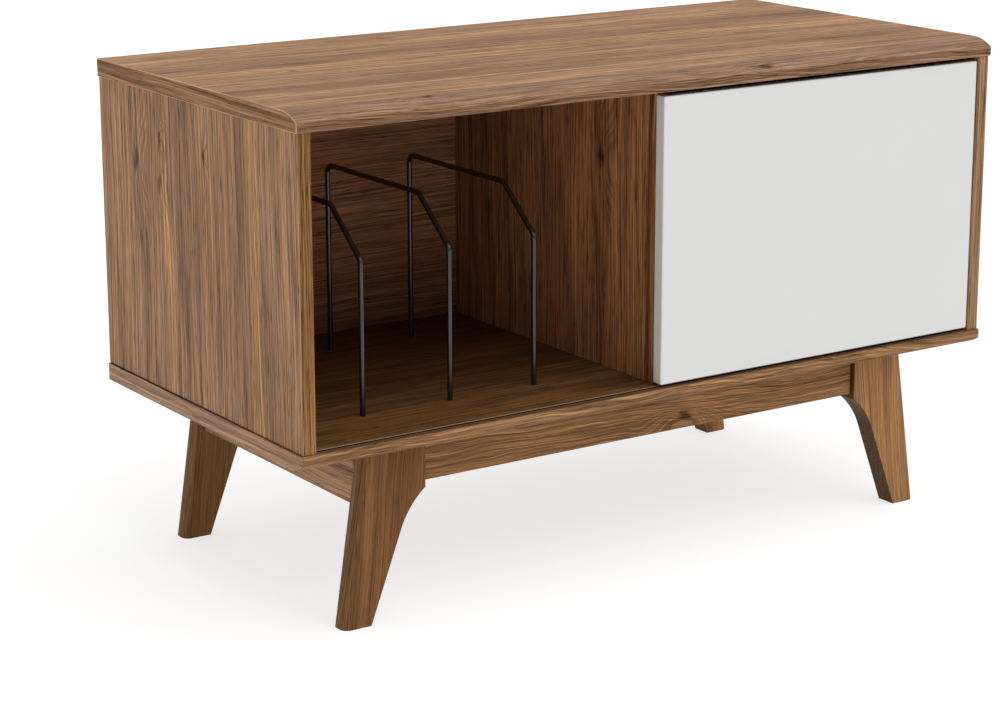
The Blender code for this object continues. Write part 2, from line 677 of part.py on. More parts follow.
def make_guide(side, x, door):
    """A bush let into the door's top edge, with a sprung pin that runs in the ceiling channel."""
    top = DOOR_HIGH_Z
    flange_top = SEAT + BUSH_FLANGE_T
    stem_r = PIN_R + SEAT
    flange_r = BUSH_R + BUSH_FLANGE_W
    profile = [(BUSH_BORE_R, -BUSH_L), (BUSH_R, -BUSH_L), (BUSH_R, SEAT), (flange_r, SEAT),
               (flange_r, flange_top), (stem_r, flange_top), (stem_r, -BUSH_LIP),
               (BUSH_BORE_R, -BUSH_LIP)]
    bush = place(turn(profile, GUIDE_SIDES, closed=True), (x, DOOR_Y, top))
    add(side + "_guide_bush", bush, "nylon", (x, DOOR_Y, top), door, smooth=True)

    shoulder = -BUSH_LIP - SEAT
    under = shoulder - PIN_SHOULDER_H
    round_z = DOOR_TOP_GAP + TRACK_SLOT_D - PIN_HEADROOM - PIN_R
    profile = [(0, under - PIN_SPIGOT_H), (PIN_SPIGOT_R, under - PIN_SPIGOT_H), (PIN_SPIGOT_R, under),
               (PIN_SHOULDER_R, under), (PIN_SHOULDER_R, shoulder), (PIN_R, shoulder)]
    for step in range(PIN_TIP_STEPS):
        angle = math.pi / 2 * step / PIN_TIP_STEPS
        profile.append((PIN_R * math.cos(angle), round_z + PIN_R * math.sin(angle)))
    profile.append((0, round_z + PIN_R))
    pin = place(turn(profile, GUIDE_SIDES), (x, DOOR_Y, top))
    add(side + "_guide_pin", pin, "nylon", (x, DOOR_Y, top), door, smooth=True)

    low = -BUSH_L + SPRING_WIRE_R
    high = under - SEAT - SPRING_WIRE_R
    centre = Vector((x, DOOR_Y, top))
    count = SPRING_TURNS * SPRING_POINTS
    path = []
    for index in range(count + 1):
        angle = 2 * math.pi * index / SPRING_POINTS
        height = low + (high - low) * index / count
        path.append(centre + Vector((SPRING_R * math.cos(angle), SPRING_R * math.sin(angle), height)))
    print(side, "guide spring, least gap between turns in mm:", round(1000 * coil_gap(path), 3))
    shape = sweep(path, SPRING_WIRE_R, SPRING_SIDES, lambda point: Vector((point.x - x, point.y - DOOR_Y, 0)))
    add(side + "_guide_spring", shape, "steel", (x, DOOR_Y, top - BUSH_L), door, smooth=True)


def coil_gap(path):
    """The least gap between two turns of a spring, measured on its points."""
    apart = SPRING_POINTS // 2
    nearest = min((path[later] - path[index]).length
                  for index in range(len(path))
                  for later in range(index + apart, len(path)))
    return nearest - 2 * SPRING_WIRE_R


def make_door():
    """The door panel, its two rollers and its two guides, carried by one empty."""
    door = empty("door_carrier", ((DOOR_LEFT_X + DOOR_RIGHT_X) / 2, DOOR_Y, DOOR_LOW_Z))
    low = (DOOR_LEFT_X, DOOR_Y - DOOR_T / 2, DOOR_LOW_Z)
    high = (DOOR_RIGHT_X, DOOR_Y + DOOR_T / 2, DOOR_HIGH_Z)
    panel = add("door_panel", box(low, high), "white_lacquer", door.location, door)
    half_l, half_w, height = housing_size()
    rollers = {"left": DOOR_LEFT_X + ROLLER_INSET, "right": DOOR_RIGHT_X - ROLLER_INSET}
    for side, x in rollers.items():
        cut(panel, box((x - half_l - SEAT, DOOR_Y - half_w - SEAT, DOOR_LOW_Z - OVERCUT),
                       (x + half_l + SEAT, DOOR_Y + half_w + SEAT, DOOR_LOW_Z + height + SEAT)))
        make_roller(side, x, door)
    guides = {"left": DOOR_LEFT_X + GUIDE_INSET, "right": DOOR_RIGHT_X - GUIDE_INSET}
    for side, x in guides.items():
        cut(panel, rod((x, DOOR_Y, DOOR_HIGH_Z - BUSH_L - SEAT), (x, DOOR_Y, DOOR_HIGH_Z + OVERCUT),
                       BUSH_R + SEAT, GUIDE_SIDES))
        make_guide(side, x, door)


# Fasteners


def cross(centre_y, centre_z, start_x, end_x):
    """A cross-shaped cutter along X."""
    arm = CAM_CROSS_L / 2
    half = CAM_CROSS_W / 2
    corner = [(half, half), (half, arm), (-half, arm)]
    outline = []
    for quarter in range(4):
        for y, z in corner:
            for _ in range(quarter):
                y, z = -z, y
            outline.append((start_x, centre_y + y, centre_z + z))
    return extrude(outline, (end_x - start_x, 0, 0))


def make_cam_set(name, face_x, way, bolt_x, y):
    """A cam lock in a panel's face, and the bolt from the top board that it grips."""
    cam_z = CEILING_Z - CAM_DROP
    deep_x = face_x - way * (PANEL_T - CAM_SKIN)
    cam = add(name + "_cam_lock", rod((face_x, y, cam_z), (deep_x, y, cam_z), CAM_R, CAM_SIDES),
              "zinc", (face_x, y, cam_z), smooth=True)
    grip = BOLT_R + SEAT
    head_z = cam_z - BOLT_HEAD_H / 2
    cut(cam, box((bolt_x - grip, y - grip, head_z - SEAT),
                 (bolt_x + grip, y + grip, cam_z + CAM_R + OVERCUT)))
    cut(cam, cross(y, cam_z, face_x + way * OVERCUT, face_x - way * CAM_CROSS_D))

    neck = BOLT_HEAD_H + BOLT_NECK_H
    length = CAM_DROP + BOLT_HEAD_H / 2 + BOLT_BITE
    profile = [(0, 0), (BOLT_R - BOLT_CHAMFER, 0), (BOLT_R, BOLT_CHAMFER), (BOLT_R, BOLT_HEAD_H),
               (BOLT_NECK_R, BOLT_HEAD_H), (BOLT_NECK_R, neck), (BOLT_R, neck),
               (BOLT_R, length - BOLT_CHAMFER), (BOLT_R - BOLT_CHAMFER, length), (0, length)]
    bolt = place(turn(profile, FASTENER_SIDES), (bolt_x, y, head_z))
    add(name + "_cam_bolt", bolt, "steel", (bolt_x, y, CEILING_Z), smooth=True)


def make_screw(name, x, y):
    """A screw up through the bottom board into the end of a panel."""
    profile = [(0, SCREW_SOCKET_D), (SCREW_SOCKET_R, SCREW_SOCKET_D), (SCREW_SOCKET_R, 0),
               (SCREW_HEAD_R, 0), (SCREW_HEAD_R, SCREW_HEAD_H), (SCREW_R, SCREW_HEAD_H),
               (SCREW_R, SCREW_L - SCREW_POINT), (0, SCREW_L)]
    screw = place(turn(profile, FASTENER_SIDES), (x, y, BASE_HEIGHT))
    add(name + "_screw", screw, "steel", (x, y, BASE_HEIGHT), smooth=True)


def make_stud(name, x, y):
    """A stud that joins a leg to the bottom board."""
    length = STUD_IN_LEG + STUD_IN_BOARD
    profile = [(0, 0), (STUD_R - STUD_CHAMFER, 0), (STUD_R, STUD_CHAMFER),
               (STUD_R, length - STUD_CHAMFER), (STUD_R - STUD_CHAMFER, length), (0, length)]
    stud = place(turn(profile, FASTENER_SIDES), (x, y, BASE_HEIGHT - STUD_IN_LEG))
    add(name + "_stud", stud, "steel", (x, y, BASE_HEIGHT), smooth=True)


def make_fasteners():
    """Cam sets at the top of each upright, screws at its foot, and a stud in each leg."""
    cam_faces = {"left": (-SIDE_IN_X, 1), "centre": (PANEL_T / 2, 1), "right": (SIDE_IN_X, -1)}
    for panel, x in UPRIGHT_XS.items():
        face_x, way = cam_faces[panel]
        for end, y in FASTENER_YS.items():
            make_cam_set(panel + "_" + end, face_x, way, x, y)
            make_screw(panel + "_" + end, x, y)
    for name, (out_x, mid_y) in leg_places().items():
        make_stud(name, math.copysign(LEG_OUT_X - LEG_TOP_W / 2, out_x), mid_y)


def main():
    """Build the stand."""
    clear_scene()
    make_top_panel()
    make_bottom_panel()
    make_sides()
    make_divider()
    make_back_panel()
    make_wires()
    make_legs()
    make_frame_bars()
    make_tracks()
    make_door()
    make_fasteners()


main()
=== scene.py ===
"""Dress the record display stand: walnut-grain boards, a white sliding door and black wire dividers.

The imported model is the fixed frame. Every piece here is in metres, in the frame's own place, and rides on
one of its bodies.
"""
from __future__ import annotations

import logging
import math
import operator
from collections.abc import Iterable, Sequence
from dataclasses import dataclass, replace
from enum import Enum

import bmesh
import bpy
from mathutils import Euler, Matrix, Vector

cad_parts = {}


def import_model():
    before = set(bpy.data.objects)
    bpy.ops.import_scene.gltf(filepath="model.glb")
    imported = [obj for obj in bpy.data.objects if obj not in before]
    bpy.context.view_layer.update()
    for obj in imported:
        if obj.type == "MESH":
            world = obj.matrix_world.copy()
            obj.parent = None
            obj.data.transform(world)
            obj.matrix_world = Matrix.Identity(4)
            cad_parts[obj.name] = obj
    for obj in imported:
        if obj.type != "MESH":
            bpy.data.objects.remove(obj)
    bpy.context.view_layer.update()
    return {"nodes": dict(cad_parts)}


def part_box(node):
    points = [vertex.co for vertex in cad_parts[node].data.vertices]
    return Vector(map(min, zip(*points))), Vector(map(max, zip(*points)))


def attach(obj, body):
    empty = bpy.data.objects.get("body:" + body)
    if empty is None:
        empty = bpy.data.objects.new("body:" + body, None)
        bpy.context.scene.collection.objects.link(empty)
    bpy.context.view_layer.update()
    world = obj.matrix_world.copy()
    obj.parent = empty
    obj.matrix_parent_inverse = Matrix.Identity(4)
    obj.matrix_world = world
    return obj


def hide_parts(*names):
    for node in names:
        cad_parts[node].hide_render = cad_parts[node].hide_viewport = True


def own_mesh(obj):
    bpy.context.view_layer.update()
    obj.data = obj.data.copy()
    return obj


LOG = logging.getLogger("record_stand")
ROWS = ("front", "rear")
SIDES = ("left", "right")
FASTENER_PLACES = tuple(f"{panel}_{row}" for panel in ("left", "centre", "right") for row in ROWS)

# Shapes, in metres and radians
SEAT = 0.0003               # left between two pieces that touch
OVERCUT = 0.002             # how far a cut runs past the face that it opens
MERGE = 0.000001            # points closer than this become one
NEAR = 0.00001              # places closer than this count as the same
SHARP = math.radians(50)    # a fold above this stays sharp in the shading
ARRIS = math.radians(25)    # a fold above this is rounded
ROUND_PROFILE = 0.5         # bevel profile that gives a round arris

# Which finish a face takes, from the parts of its normal
ALONG_AXIS = 0.75           # a face that points along X or Y
NOSE_SLOPE = -0.015         # a face that slopes away to the front
NOSE_SPREAD = 0.3           # and doesn't point along X more than this
INNER_SLOPE = -0.3          # a face that turns to the middle of the stand
LINE_SLOPES = (0.2, 0.98)   # the rounding round a board's ends, which takes the painted highlight

# Knots in the wood
KNOT_LENGTH = 2.9           # how much longer the swirl is along the grain than across it
KNOT_RISE = 0.60            # how far the grain swells, as a share of the knot's size
KNOT_RIPPLE = (45.0, 190.0, 1.0)    # how fine the ragged rim is, along the grain and across it
KNOT_RAGGED = 2.6           # how ragged the dark heart's rim is, as a share of the heart
KNOT_INNER = 0.24           # where the heart starts to fade, as a share of the heart
KNOT_DARK = 0.92            # how dark the heart is

# Light on the finishes
WOOD_GLOSS = 0.08           # specular level of the laminate
WOOD_BUMP = 0.22            # strength of its bump
WOOD_RELIEF = 0.0004        # how high that bump stands, in metres
PLAIN_RELIEF = 0.0002       # the same for a plain finish
COAT_SMOOTHNESS = 0.6       # roughness of a clear coat, as a share of the finish under it
STREAK_ROUGHNESS = 0.55     # how strong the finer layers of a drawn-out noise are
WHITE = (1.0, 1.0, 1.0, 1.0)

Socket = bpy.types.NodeSocket
Colour = tuple[float, float, float]
Rates = tuple[float, float, float]  # how fine a noise is along the grain, across it and into the board
Layer = tuple[float, float, float]  # how fine it is along the grain and off it, and its detail or line width
Step = tuple[float, ...]            # where a soft step starts and ends, and the results before and after it
Knots = tuple[tuple[float, float, float, float], ...]


class Grain(Enum):
    """Which way the wood runs on a face: along the grain, across the face, and into the board."""

    BOARD = ((1, 0, 0), (0, 1, 0), (0, 0, 1))
    TOP = ((0.9996, -0.03, 0), (0.03, 0.9996, 0), (0, 0, 1))
    RAIL_FACE = ((1, 0, 0), (0, 0, 1), (0, -1, 0))
    BOARD_END = ((0, 1, 0), (0, 0, 1), (1, 0, 0))
    UPRIGHT = ((0, 0, 1), (0, 1, 0), (-1, 0, 0))
    UPRIGHT_EDGE = ((0, 0, 1), (1, 0, 0), (0, 1, 0))
    LEG_LEFT = ((0.11, 0, 0.9939), (0.9939, 0, -0.11), (0, 1, 0))
    LEG_RIGHT = ((-0.11, 0, 0.9939), (0.9939, 0, 0.11), (0, 1, 0))
    LEG_LEFT_SIDE = ((0.151, 0, 0.9885), (0, 1, 0), (-0.9885, 0, 0.151))
    LEG_RIGHT_SIDE = ((-0.151, 0, 0.9885), (0, 1, 0), (-0.9885, 0, -0.151))

    def turn(self) -> Euler:
        """The turn of a Mapping node that lays the grain along its X."""
        return Matrix([Vector(row).normalized() for row in self.value]).to_euler("XYZ")


class Wiring:
    """Adds nodes to a shader or geometry tree and links them."""

    def __init__(self, tree: bpy.types.NodeTree) -> None:
        """Keep the tree that the nodes go into."""
        self.tree = tree

    def add(self, kind: str, **settings: object) -> bpy.types.Node:
        """Add a node.

        Args:
            kind: Blender's name for the node's type.
            settings: the node's own properties.

        Returns:
            The new node.
        """
        node = self.tree.nodes.new(kind)
        for name, value in settings.items():
            setattr(node, name, value)
        return node

    def feed(self, target: Socket, value: object) -> None:
        """Link a socket to an input, or set the input to a plain value.

        Args:
            target: the input.
            value: a socket, a plain value, or None to leave the input alone.
        """
        if isinstance(value, bpy.types.NodeSocket):
            self.tree.links.new(value, target)
        elif value is not None:
            target.default_value = value

    def math(self, operation: str, *values: object) -> Socket:
        """A Math node.

        Args:
            operation: the node's operation.
            values: sockets or numbers for its inputs.

        Returns:
            The node's result.
        """
        node = self.add("ShaderNodeMath", operation=operation)
        for target, value in zip(node.inputs, values):
            self.feed(target, value)
        return node.outputs[0]

    def stretch(self, vector: Socket, sizes: Sequence[float]) -> Socket:
        """A vector with each of its parts multiplied by its own number.

        Args:
            vector: the vector.
            sizes: the three numbers.

        Returns:
            The stretched vector.
        """
        node = self.add("ShaderNodeVectorMath", operation="MULTIPLY")
        self.feed(node.inputs[0], vector)
        self.feed(node.inputs[1], sizes)
        return node.outputs[0]

    def join(self, *parts: object) -> Socket:
        """A vector from three parts.

        Args:
            parts: sockets or numbers.

        Returns:
            The vector.
        """
        node = self.add("ShaderNodeCombineXYZ")
        for target, value in zip(node.inputs, parts):
            self.feed(target, value)
        return node.outputs[0]

    def parts(self, vector: Socket) -> bpy.types.NodeOutputs:
        """The three parts of a vector.

        Args:
            vector: the vector.

        Returns:
            The outputs that hold its parts.
        """
        node = self.add("ShaderNodeSeparateXYZ")
        self.feed(node.inputs[0], vector)
        return node.outputs

    def noise(self, vector: Socket, scale: object = 1.0, detail: float = 2.0,
              rough: float = 0.5) -> Socket:
        """A noise value from 0 to 1.

        Args:
            vector: where to read the noise.
            scale: how fine it is.
            detail: how many finer layers it has.
            rough: how strong those layers are.

        Returns:
            The noise value.
        """
        node = self.add("ShaderNodeTexNoise")
        self.feed(node.inputs["Vector"], vector)
        self.feed(node.inputs["Scale"], scale)
        self.feed(node.inputs["Detail"], detail)
        self.feed(node.inputs["Roughness"], rough)
        return node.outputs[0]

    def streaked(self, place: WoodPlace, layer: Layer) -> Socket:
        """A noise value that is drawn out along the grain.

        Args:
            place: where to read the noise.
            layer: how fine it is along the grain and off it, and how many finer layers it has.

        Returns:
            The noise value.
        """
        along, off, detail = layer
        where = self.join(self.math("MULTIPLY", place.along, along), self.math("MULTIPLY", place.across, off),
                          self.math("MULTIPLY", place.deep, off))
        return self.noise(where, 1.0, detail, STREAK_ROUGHNESS)

    def veined(self, place: WoodPlace, layer: Layer) -> Socket:
        """Thin lines that follow the grain, where a drawn-out noise crosses its middle.

        Args:
            place: where to read the lines.
            layer: how fine they are along the grain and off it, and how wide.

        Returns:
            1 on a line and 0 off it.
        """
        along, off, width = layer
        level = self.math("SUBTRACT", self.streaked(place, (along, off, 1.0)), 0.5)
        return self.ramp(self.math("ABSOLUTE", level), 0.0, width, 1.0, 0.0)

    def ramp(self, value: Socket, low: object, high: object, start: object = 0.0,
             end: object = 1.0) -> Socket:
        """A soft step of a value.

        Args:
            value: what is stepped.
            low: where the step starts.
            high: where it ends.
            start: the result before it.
            end: the result after it.

        Returns:
            The stepped value.
        """
        node = self.add("ShaderNodeMapRange", interpolation_type="SMOOTHSTEP")
        for target, given in zip(node.inputs, (value, low, high, start, end)):
            self.feed(target, given)
        return node.outputs[0]

    def blend(self, share: object, first: object, second: object) -> Socket:
        """A mix of two colours.

        Args:
            share: how much of the second colour there is.
            first: the first colour.
            second: the second colour.

        Returns:
            The mixed colour.
        """
        node = self.add("ShaderNodeMix", data_type="RGBA")
        self.feed(node.inputs[0], share)
        self.feed(node.inputs[6], first)
        self.feed(node.inputs[7], second)
        return node.outputs[2]

    def dim(self, colour: Socket, factor: object) -> Socket:
        """A colour times a factor.

        Args:
            colour: the colour.
            factor: how bright it becomes.

        Returns:
            The changed colour.
        """
        node = self.add("ShaderNodeVectorMath", operation="SCALE")
        self.feed(node.inputs[0], colour)
        self.feed(node.inputs[3], factor)
        return node.outputs[0]


@dataclass(frozen=True)
class WoodPlace:
    """Where a point lies in the wood: along the grain, across the face and into the board."""

    along: Socket
    across: Socket
    deep: Socket

    def finer(self, wire: Wiring, factor: Socket) -> WoodPlace:
        """The same place on a finer grain.

        Args:
            wire: the wiring of the tree.
            factor: how much finer the grain is.

        Returns:
            The place, multiplied by the factor in both ways off the grain.
        """
        return replace(self, across=wire.math("MULTIPLY", self.across, factor),
                       deep=wire.math("MULTIPLY", self.deep, factor))


def new_group(name: str, kind: str, inputs: dict[str, str], outputs: dict[str, str]) -> bpy.types.NodeTree:
    """A node group with its sockets.

    Args:
        name: the group's name.
        kind: the type of tree.
        inputs: names of the inputs, each with its socket type.
        outputs: names of the outputs, each with its socket type.

    Returns:
        The group, still without nodes.
    """
    tree = bpy.data.node_groups.new(name, kind)
    for label, sort in inputs.items():
        tree.interface.new_socket(label, in_out="INPUT", socket_type="NodeSocket" + sort)
    for label, sort in outputs.items():
        tree.interface.new_socket(label, in_out="OUTPUT", socket_type="NodeSocket" + sort)
    return tree


@dataclass(frozen=True)
class GrainFlow:
    """The slow wander of the fibres, shared by every walnut finish."""

    slow_rates: Rates = (1.4, 5.0, 5.0)
    slow_reach: float = 0.030
    quick_rates: Rates = (9.0, 34.0, 34.0)
    quick_reach: float = 0.006

    def group(self) -> bpy.types.NodeTree:
        """The wander as a shader group.

        Returns:
            The group, made on first use.
        """
        made = bpy.data.node_groups.get("grain_flow")
        if made:
            return made
        tree = new_group("grain_flow", "ShaderNodeTree", {"Vector": "Vector", "Wander": "Float"},
                         {"Vector": "Vector"})
        wire = Wiring(tree)
        given = wire.add("NodeGroupInput").outputs
        along, across, deep = wire.parts(given["Vector"])
        slow = wire.math("SUBTRACT", wire.noise(wire.stretch(given["Vector"], self.slow_rates)), 0.5)
        quick = wire.math("SUBTRACT", wire.noise(wire.stretch(given["Vector"], self.quick_rates)), 0.5)
        shift = wire.math("MULTIPLY_ADD", quick, self.quick_reach,
                          wire.math("MULTIPLY", slow, self.slow_reach))
        side = wire.math("MULTIPLY_ADD", shift, given["Wander"], across)
        out = wire.add("NodeGroupOutput").inputs
        wire.feed(out["Vector"], wire.join(along, side, deep))
        return tree


@dataclass(frozen=True)
class WalnutFigure:
    """The figure that all the wood shares: growth rings, veins, broad tones, fibres and pores."""

    sway_rate: float = 1.7                              # how fast the rings' heart sways along the board
    sway_row: float = 3.3                               # which row of the noise it follows
    sway_reach: float = 0.06
    uneven_rates: tuple[float, float] = (48.0, 0.4)     # off the heart, and along the grain
    uneven_reach: float = 5.0                           # how far the years' widths vary
    late_rise: Step = (0.62, 0.91)                      # dark late wood, within a year
    late_fall: Step = (0.92, 1.0, 1.0, 0.0)
    year_power: float = 1.8                             # how few years stand out
    year_share: tuple[float, float] = (0.9, 0.1)
    fade_rates: Rates = (3.0, 22.0, 22.0)
    fade_step: Step = (0.30, 0.62, 0.25, 1.0)

    vein: Layer = (1.8, 210.0, 0.11)
    vein_patch: Layer = (2.2, 42.0, 1.0)
    vein_step: Step = (0.30, 0.55, 0.2, 1.0)
    hair: Layer = (3.6, 430.0, 0.16)
    hair_patch: Layer = (3.4, 60.0, 1.0)
    hair_step: Step = (0.30, 0.60, 0.15, 0.75)

    slow_tone: Layer = (0.5, 14.0, 3.0)
    slow_share: float = 2.2
    quick_tone: Layer = (1.2, 85.0, 3.0)
    quick_share: float = 3.2
    gold_band: Layer = (0.6, 22.0, 2.0)
    gold_stripe: float = 0.30                           # how much a light stripe draws the gold
    gold_step: Step = (0.44, 0.62)
    dark_step: Step = (-1.3, 0.1)                       # from the dark tone to the middle one
    light_step: Step = (-0.1, 1.1)                      # from the middle tone to the light one
    mark_dim: float = 0.75                              # rings and veins, against the dark tone
    heart_dim: float = 0.40                             # hearts of knots, against the dark tone

    fibre: Layer = (7.0, 330.0, 4.0)
    fibre_step: Step = (0.25, 0.75)
    fibre_shade: tuple[float, float] = (0.66, -0.33)
    fibre_height: float = 0.5
    pore: Layer = (34.0, 620.0, 1.0)
    pore_step: Step = (0.55, 0.69)
    pore_shade: float = -0.34
    pore_height: float = -1.0
    mark_shade: float = -0.35
    mark_height: float = -0.4
    least_shade: float = 0.12
    rough_step: Step = (0.2, 0.8, 0.52, 0.42)

    def rings(self, wire: Wiring, given: bpy.types.NodeOutputs, place: WoodPlace) -> tuple[Socket, Socket]:
        """Growth rings about a heart that lies off the face.

        Args:
            wire: the group's wiring.
            given: the group's inputs.
            place: where a point lies in the wood.

        Returns:
            How far the point lies from the heart, and the share of dark late wood.
        """
        swing = wire.join(wire.math("MULTIPLY", place.along, self.sway_rate), self.sway_row, 0.0)
        sway = wire.math("SUBTRACT", wire.noise(swing), 0.5)
        depth = wire.math("MULTIPLY_ADD", place.along, given["Tilt"], place.deep)
        depth = wire.math("MULTIPLY_ADD", sway, self.sway_reach, depth)
        reach = wire.math("SQRT", wire.math("ADD", wire.math("MULTIPLY", place.across, place.across),
                                            wire.math("MULTIPLY", depth, depth)))
        reach = wire.math("SUBTRACT", reach, given["Bulge"])
        uneven = wire.noise(wire.join(wire.math("MULTIPLY", reach, self.uneven_rates[0]),
                                      wire.math("MULTIPLY", place.along, self.uneven_rates[1]), 0.0))
        phase = wire.math("MULTIPLY_ADD", wire.math("SUBTRACT", uneven, 0.5), self.uneven_reach,
                          wire.math("DIVIDE", reach, given["Ring"]))
        part = wire.math("FRACT", phase)
        late = wire.math("MULTIPLY", wire.ramp(part, *self.late_rise), wire.ramp(part, *self.late_fall))
        year = wire.add("ShaderNodeTexWhiteNoise", noise_dimensions="1D")
        wire.feed(year.inputs["W"], wire.math("FLOOR", phase))
        strong = wire.math("POWER", year.outputs["Value"], self.year_power)
        late = wire.math("MULTIPLY", late, wire.math("MULTIPLY_ADD", strong, *self.year_share))
        fade = wire.ramp(wire.noise(wire.stretch(given["Vector"], self.fade_rates)), *self.fade_step)
        return reach, wire.math("MULTIPLY", late, fade)

    def veins(self, wire: Wiring, place: WoodPlace, ringed: WoodPlace) -> Socket:
        """Dark veins that run with the rings, and finer ones between them.

        Args:
            wire: the group's wiring.
            place: where a point lies in the wood.
            ringed: the same on the finish's own fineness, with the rings across it.

        Returns:
            The share of dark vein.
        """
        vein = wire.math("MULTIPLY", wire.veined(ringed, self.vein),
                         wire.ramp(wire.streaked(place, self.vein_patch), *self.vein_step))
        hair = wire.math("MULTIPLY", wire.veined(ringed, self.hair),
                         wire.ramp(wire.streaked(place, self.hair_patch), *self.hair_step))
        return wire.math("MAXIMUM", vein, hair)

    def colour(self, wire: Wiring, given: bpy.types.NodeOutputs, place: WoodPlace, ringed: WoodPlace,
               mark: Socket) -> Socket:
        """Broad tones and golden bands, with the dark marks on them.

        Args:
            wire: the group's wiring.
            given: the group's inputs.
            place: where a point lies in the wood.
            ringed: the same, with the rings across it.
            mark: the share of ring or vein.

        Returns:
            The wood's colour, before its fibres.
        """
        slow = wire.math("SUBTRACT", wire.streaked(ringed, self.slow_tone), 0.5)
        quick = wire.math("SUBTRACT", wire.streaked(ringed, self.quick_tone), 0.5)
        quick = wire.math("MULTIPLY", quick, self.quick_share)
        tone = wire.math("MULTIPLY_ADD", slow, self.slow_share, quick)
        tone = wire.math("MULTIPLY_ADD", tone, given["Streaks"], given["Stripe"])
        band = wire.math("MULTIPLY_ADD", given["Stripe"], self.gold_stripe,
                         wire.streaked(place, self.gold_band))
        gilt = wire.math("MULTIPLY", wire.ramp(band, *self.gold_step), given["Gold"])
        lit = wire.blend(gilt, given["Light"], given["Golden"])
        colour = wire.blend(wire.ramp(tone, *self.dark_step), given["Dark"], given["Mid"])
        colour = wire.blend(wire.ramp(tone, *self.light_step), colour, lit)
        colour = wire.blend(mark, colour, wire.dim(given["Dark"], self.mark_dim))
        return wire.blend(given["Core"], colour, wire.dim(given["Dark"], self.heart_dim))

    def group(self) -> bpy.types.NodeTree:
        """The figure as a shader group.

        Returns:
            The group, made on first use.
        """
        made = bpy.data.node_groups.get("walnut_figure")
        if made:
            return made
        tree = new_group("walnut_figure", "ShaderNodeTree",
                         {"Vector": "Vector", "Stripe": "Float", "Bulge": "Float", "Core": "Float",
                          "Ring": "Float", "Fine": "Float", "Fibre": "Float", "Tilt": "Float",
                          "Lines": "Float", "Streaks": "Float", "Gold": "Float", "Light": "Color",
                          "Mid": "Color", "Dark": "Color", "Golden": "Color"},
                         {"Color": "Color", "Roughness": "Float", "Height": "Float"})
        wire = Wiring(tree)
        given = wire.add("NodeGroupInput").outputs
        place = WoodPlace(*wire.parts(given["Vector"]))
        reach, late = self.rings(wire, given, place)
        ringed = replace(place, across=reach)
        mark = wire.math("MAXIMUM", late, self.veins(wire, place, ringed.finer(wire, given["Fine"])))
        mark = wire.math("MULTIPLY", mark, given["Lines"])
        colour = self.colour(wire, given, place, ringed, mark)

        fine = place.finer(wire, given["Fine"])
        fibre = wire.streaked(fine, self.fibre)
        pore = wire.ramp(wire.streaked(fine, self.pore), *self.pore_step)
        weave = wire.math("MULTIPLY_ADD", wire.ramp(fibre, *self.fibre_step), *self.fibre_shade)
        weave = wire.math("MULTIPLY_ADD", pore, self.pore_shade, weave)
        shade = wire.math("MULTIPLY_ADD", weave, given["Fibre"], 1.0)
        shade = wire.math("MULTIPLY", shade, wire.math("MULTIPLY_ADD", mark, self.mark_shade, 1.0))
        shade = wire.math("MAXIMUM", shade, self.least_shade)
        height = wire.math("MULTIPLY_ADD", pore, self.pore_height,
                           wire.math("MULTIPLY", fibre, self.fibre_height))

        out = wire.add("NodeGroupOutput").inputs
        wire.feed(out["Color"], wire.dim(colour, shade))
        wire.feed(out["Roughness"], wire.ramp(fibre, *self.rough_step))
        wire.feed(out["Height"], wire.math("MULTIPLY_ADD", mark, self.mark_height, height))
        return tree


@dataclass(frozen=True)
class SurfaceVariation:
    """The slight unevenness of a coat or a moulding, shared by the plain finishes."""

    broad_scale: float = 0.06       # of the broad patches, as a share of the fine ones
    broad_detail: float = 3.0
    broad_roughness: float = 0.55
    share_step: Step = (0.25, 0.75)

    def group(self) -> bpy.types.NodeTree:
        """The unevenness as a shader group.

        Returns:
            The group, made on first use.
        """
        made = bpy.data.node_groups.get("surface_variation")
        if made:
            return made
        tree = new_group("surface_variation", "ShaderNodeTree",
                         {"Vector": "Vector", "Scale": "Float", "Smooth": "Float", "Spread": "Float"},
                         {"Share": "Float", "Roughness": "Float", "Height": "Float"})
        wire = Wiring(tree)
        given = wire.add("NodeGroupInput").outputs
        broad = wire.noise(given["Vector"], wire.math("MULTIPLY", given["Scale"], self.broad_scale),
                           self.broad_detail, self.broad_roughness)
        fine = wire.noise(given["Vector"], given["Scale"])
        spread = wire.math("MULTIPLY", wire.math("SUBTRACT", broad, 0.5), given["Spread"])
        out = wire.add("NodeGroupOutput").inputs
        wire.feed(out["Share"], wire.ramp(broad, *self.share_step))
        wire.feed(out["Roughness"], wire.math("ADD", given["Smooth"], spread))
        wire.feed(out["Height"], fine)
        return tree


@dataclass(frozen=True)
class WoodTone:
    """The colours that a walnut finish moves between."""

    light: Colour
    mid: Colour
    dark: Colour
    golden: Colour


OUTER = WoodTone((0.462, 0.281, 0.171), (0.357, 0.199, 0.113), (0.158, 0.077, 0.040), (0.468, 0.252, 0.099))
FRONT = WoodTone((0.386, 0.211, 0.105), (0.298, 0.150, 0.068), (0.111, 0.049, 0.021), (0.398, 0.208, 0.073))
# The bay's tone is painted shade: a darker walnut for the faces inside the open bay, standing in for the
# shade that falls there.
SHADED_BAY = WoodTone((0.281, 0.135, 0.064), (0.211, 0.091, 0.040), (0.076, 0.029, 0.013), (0.275, 0.140, 0.047))


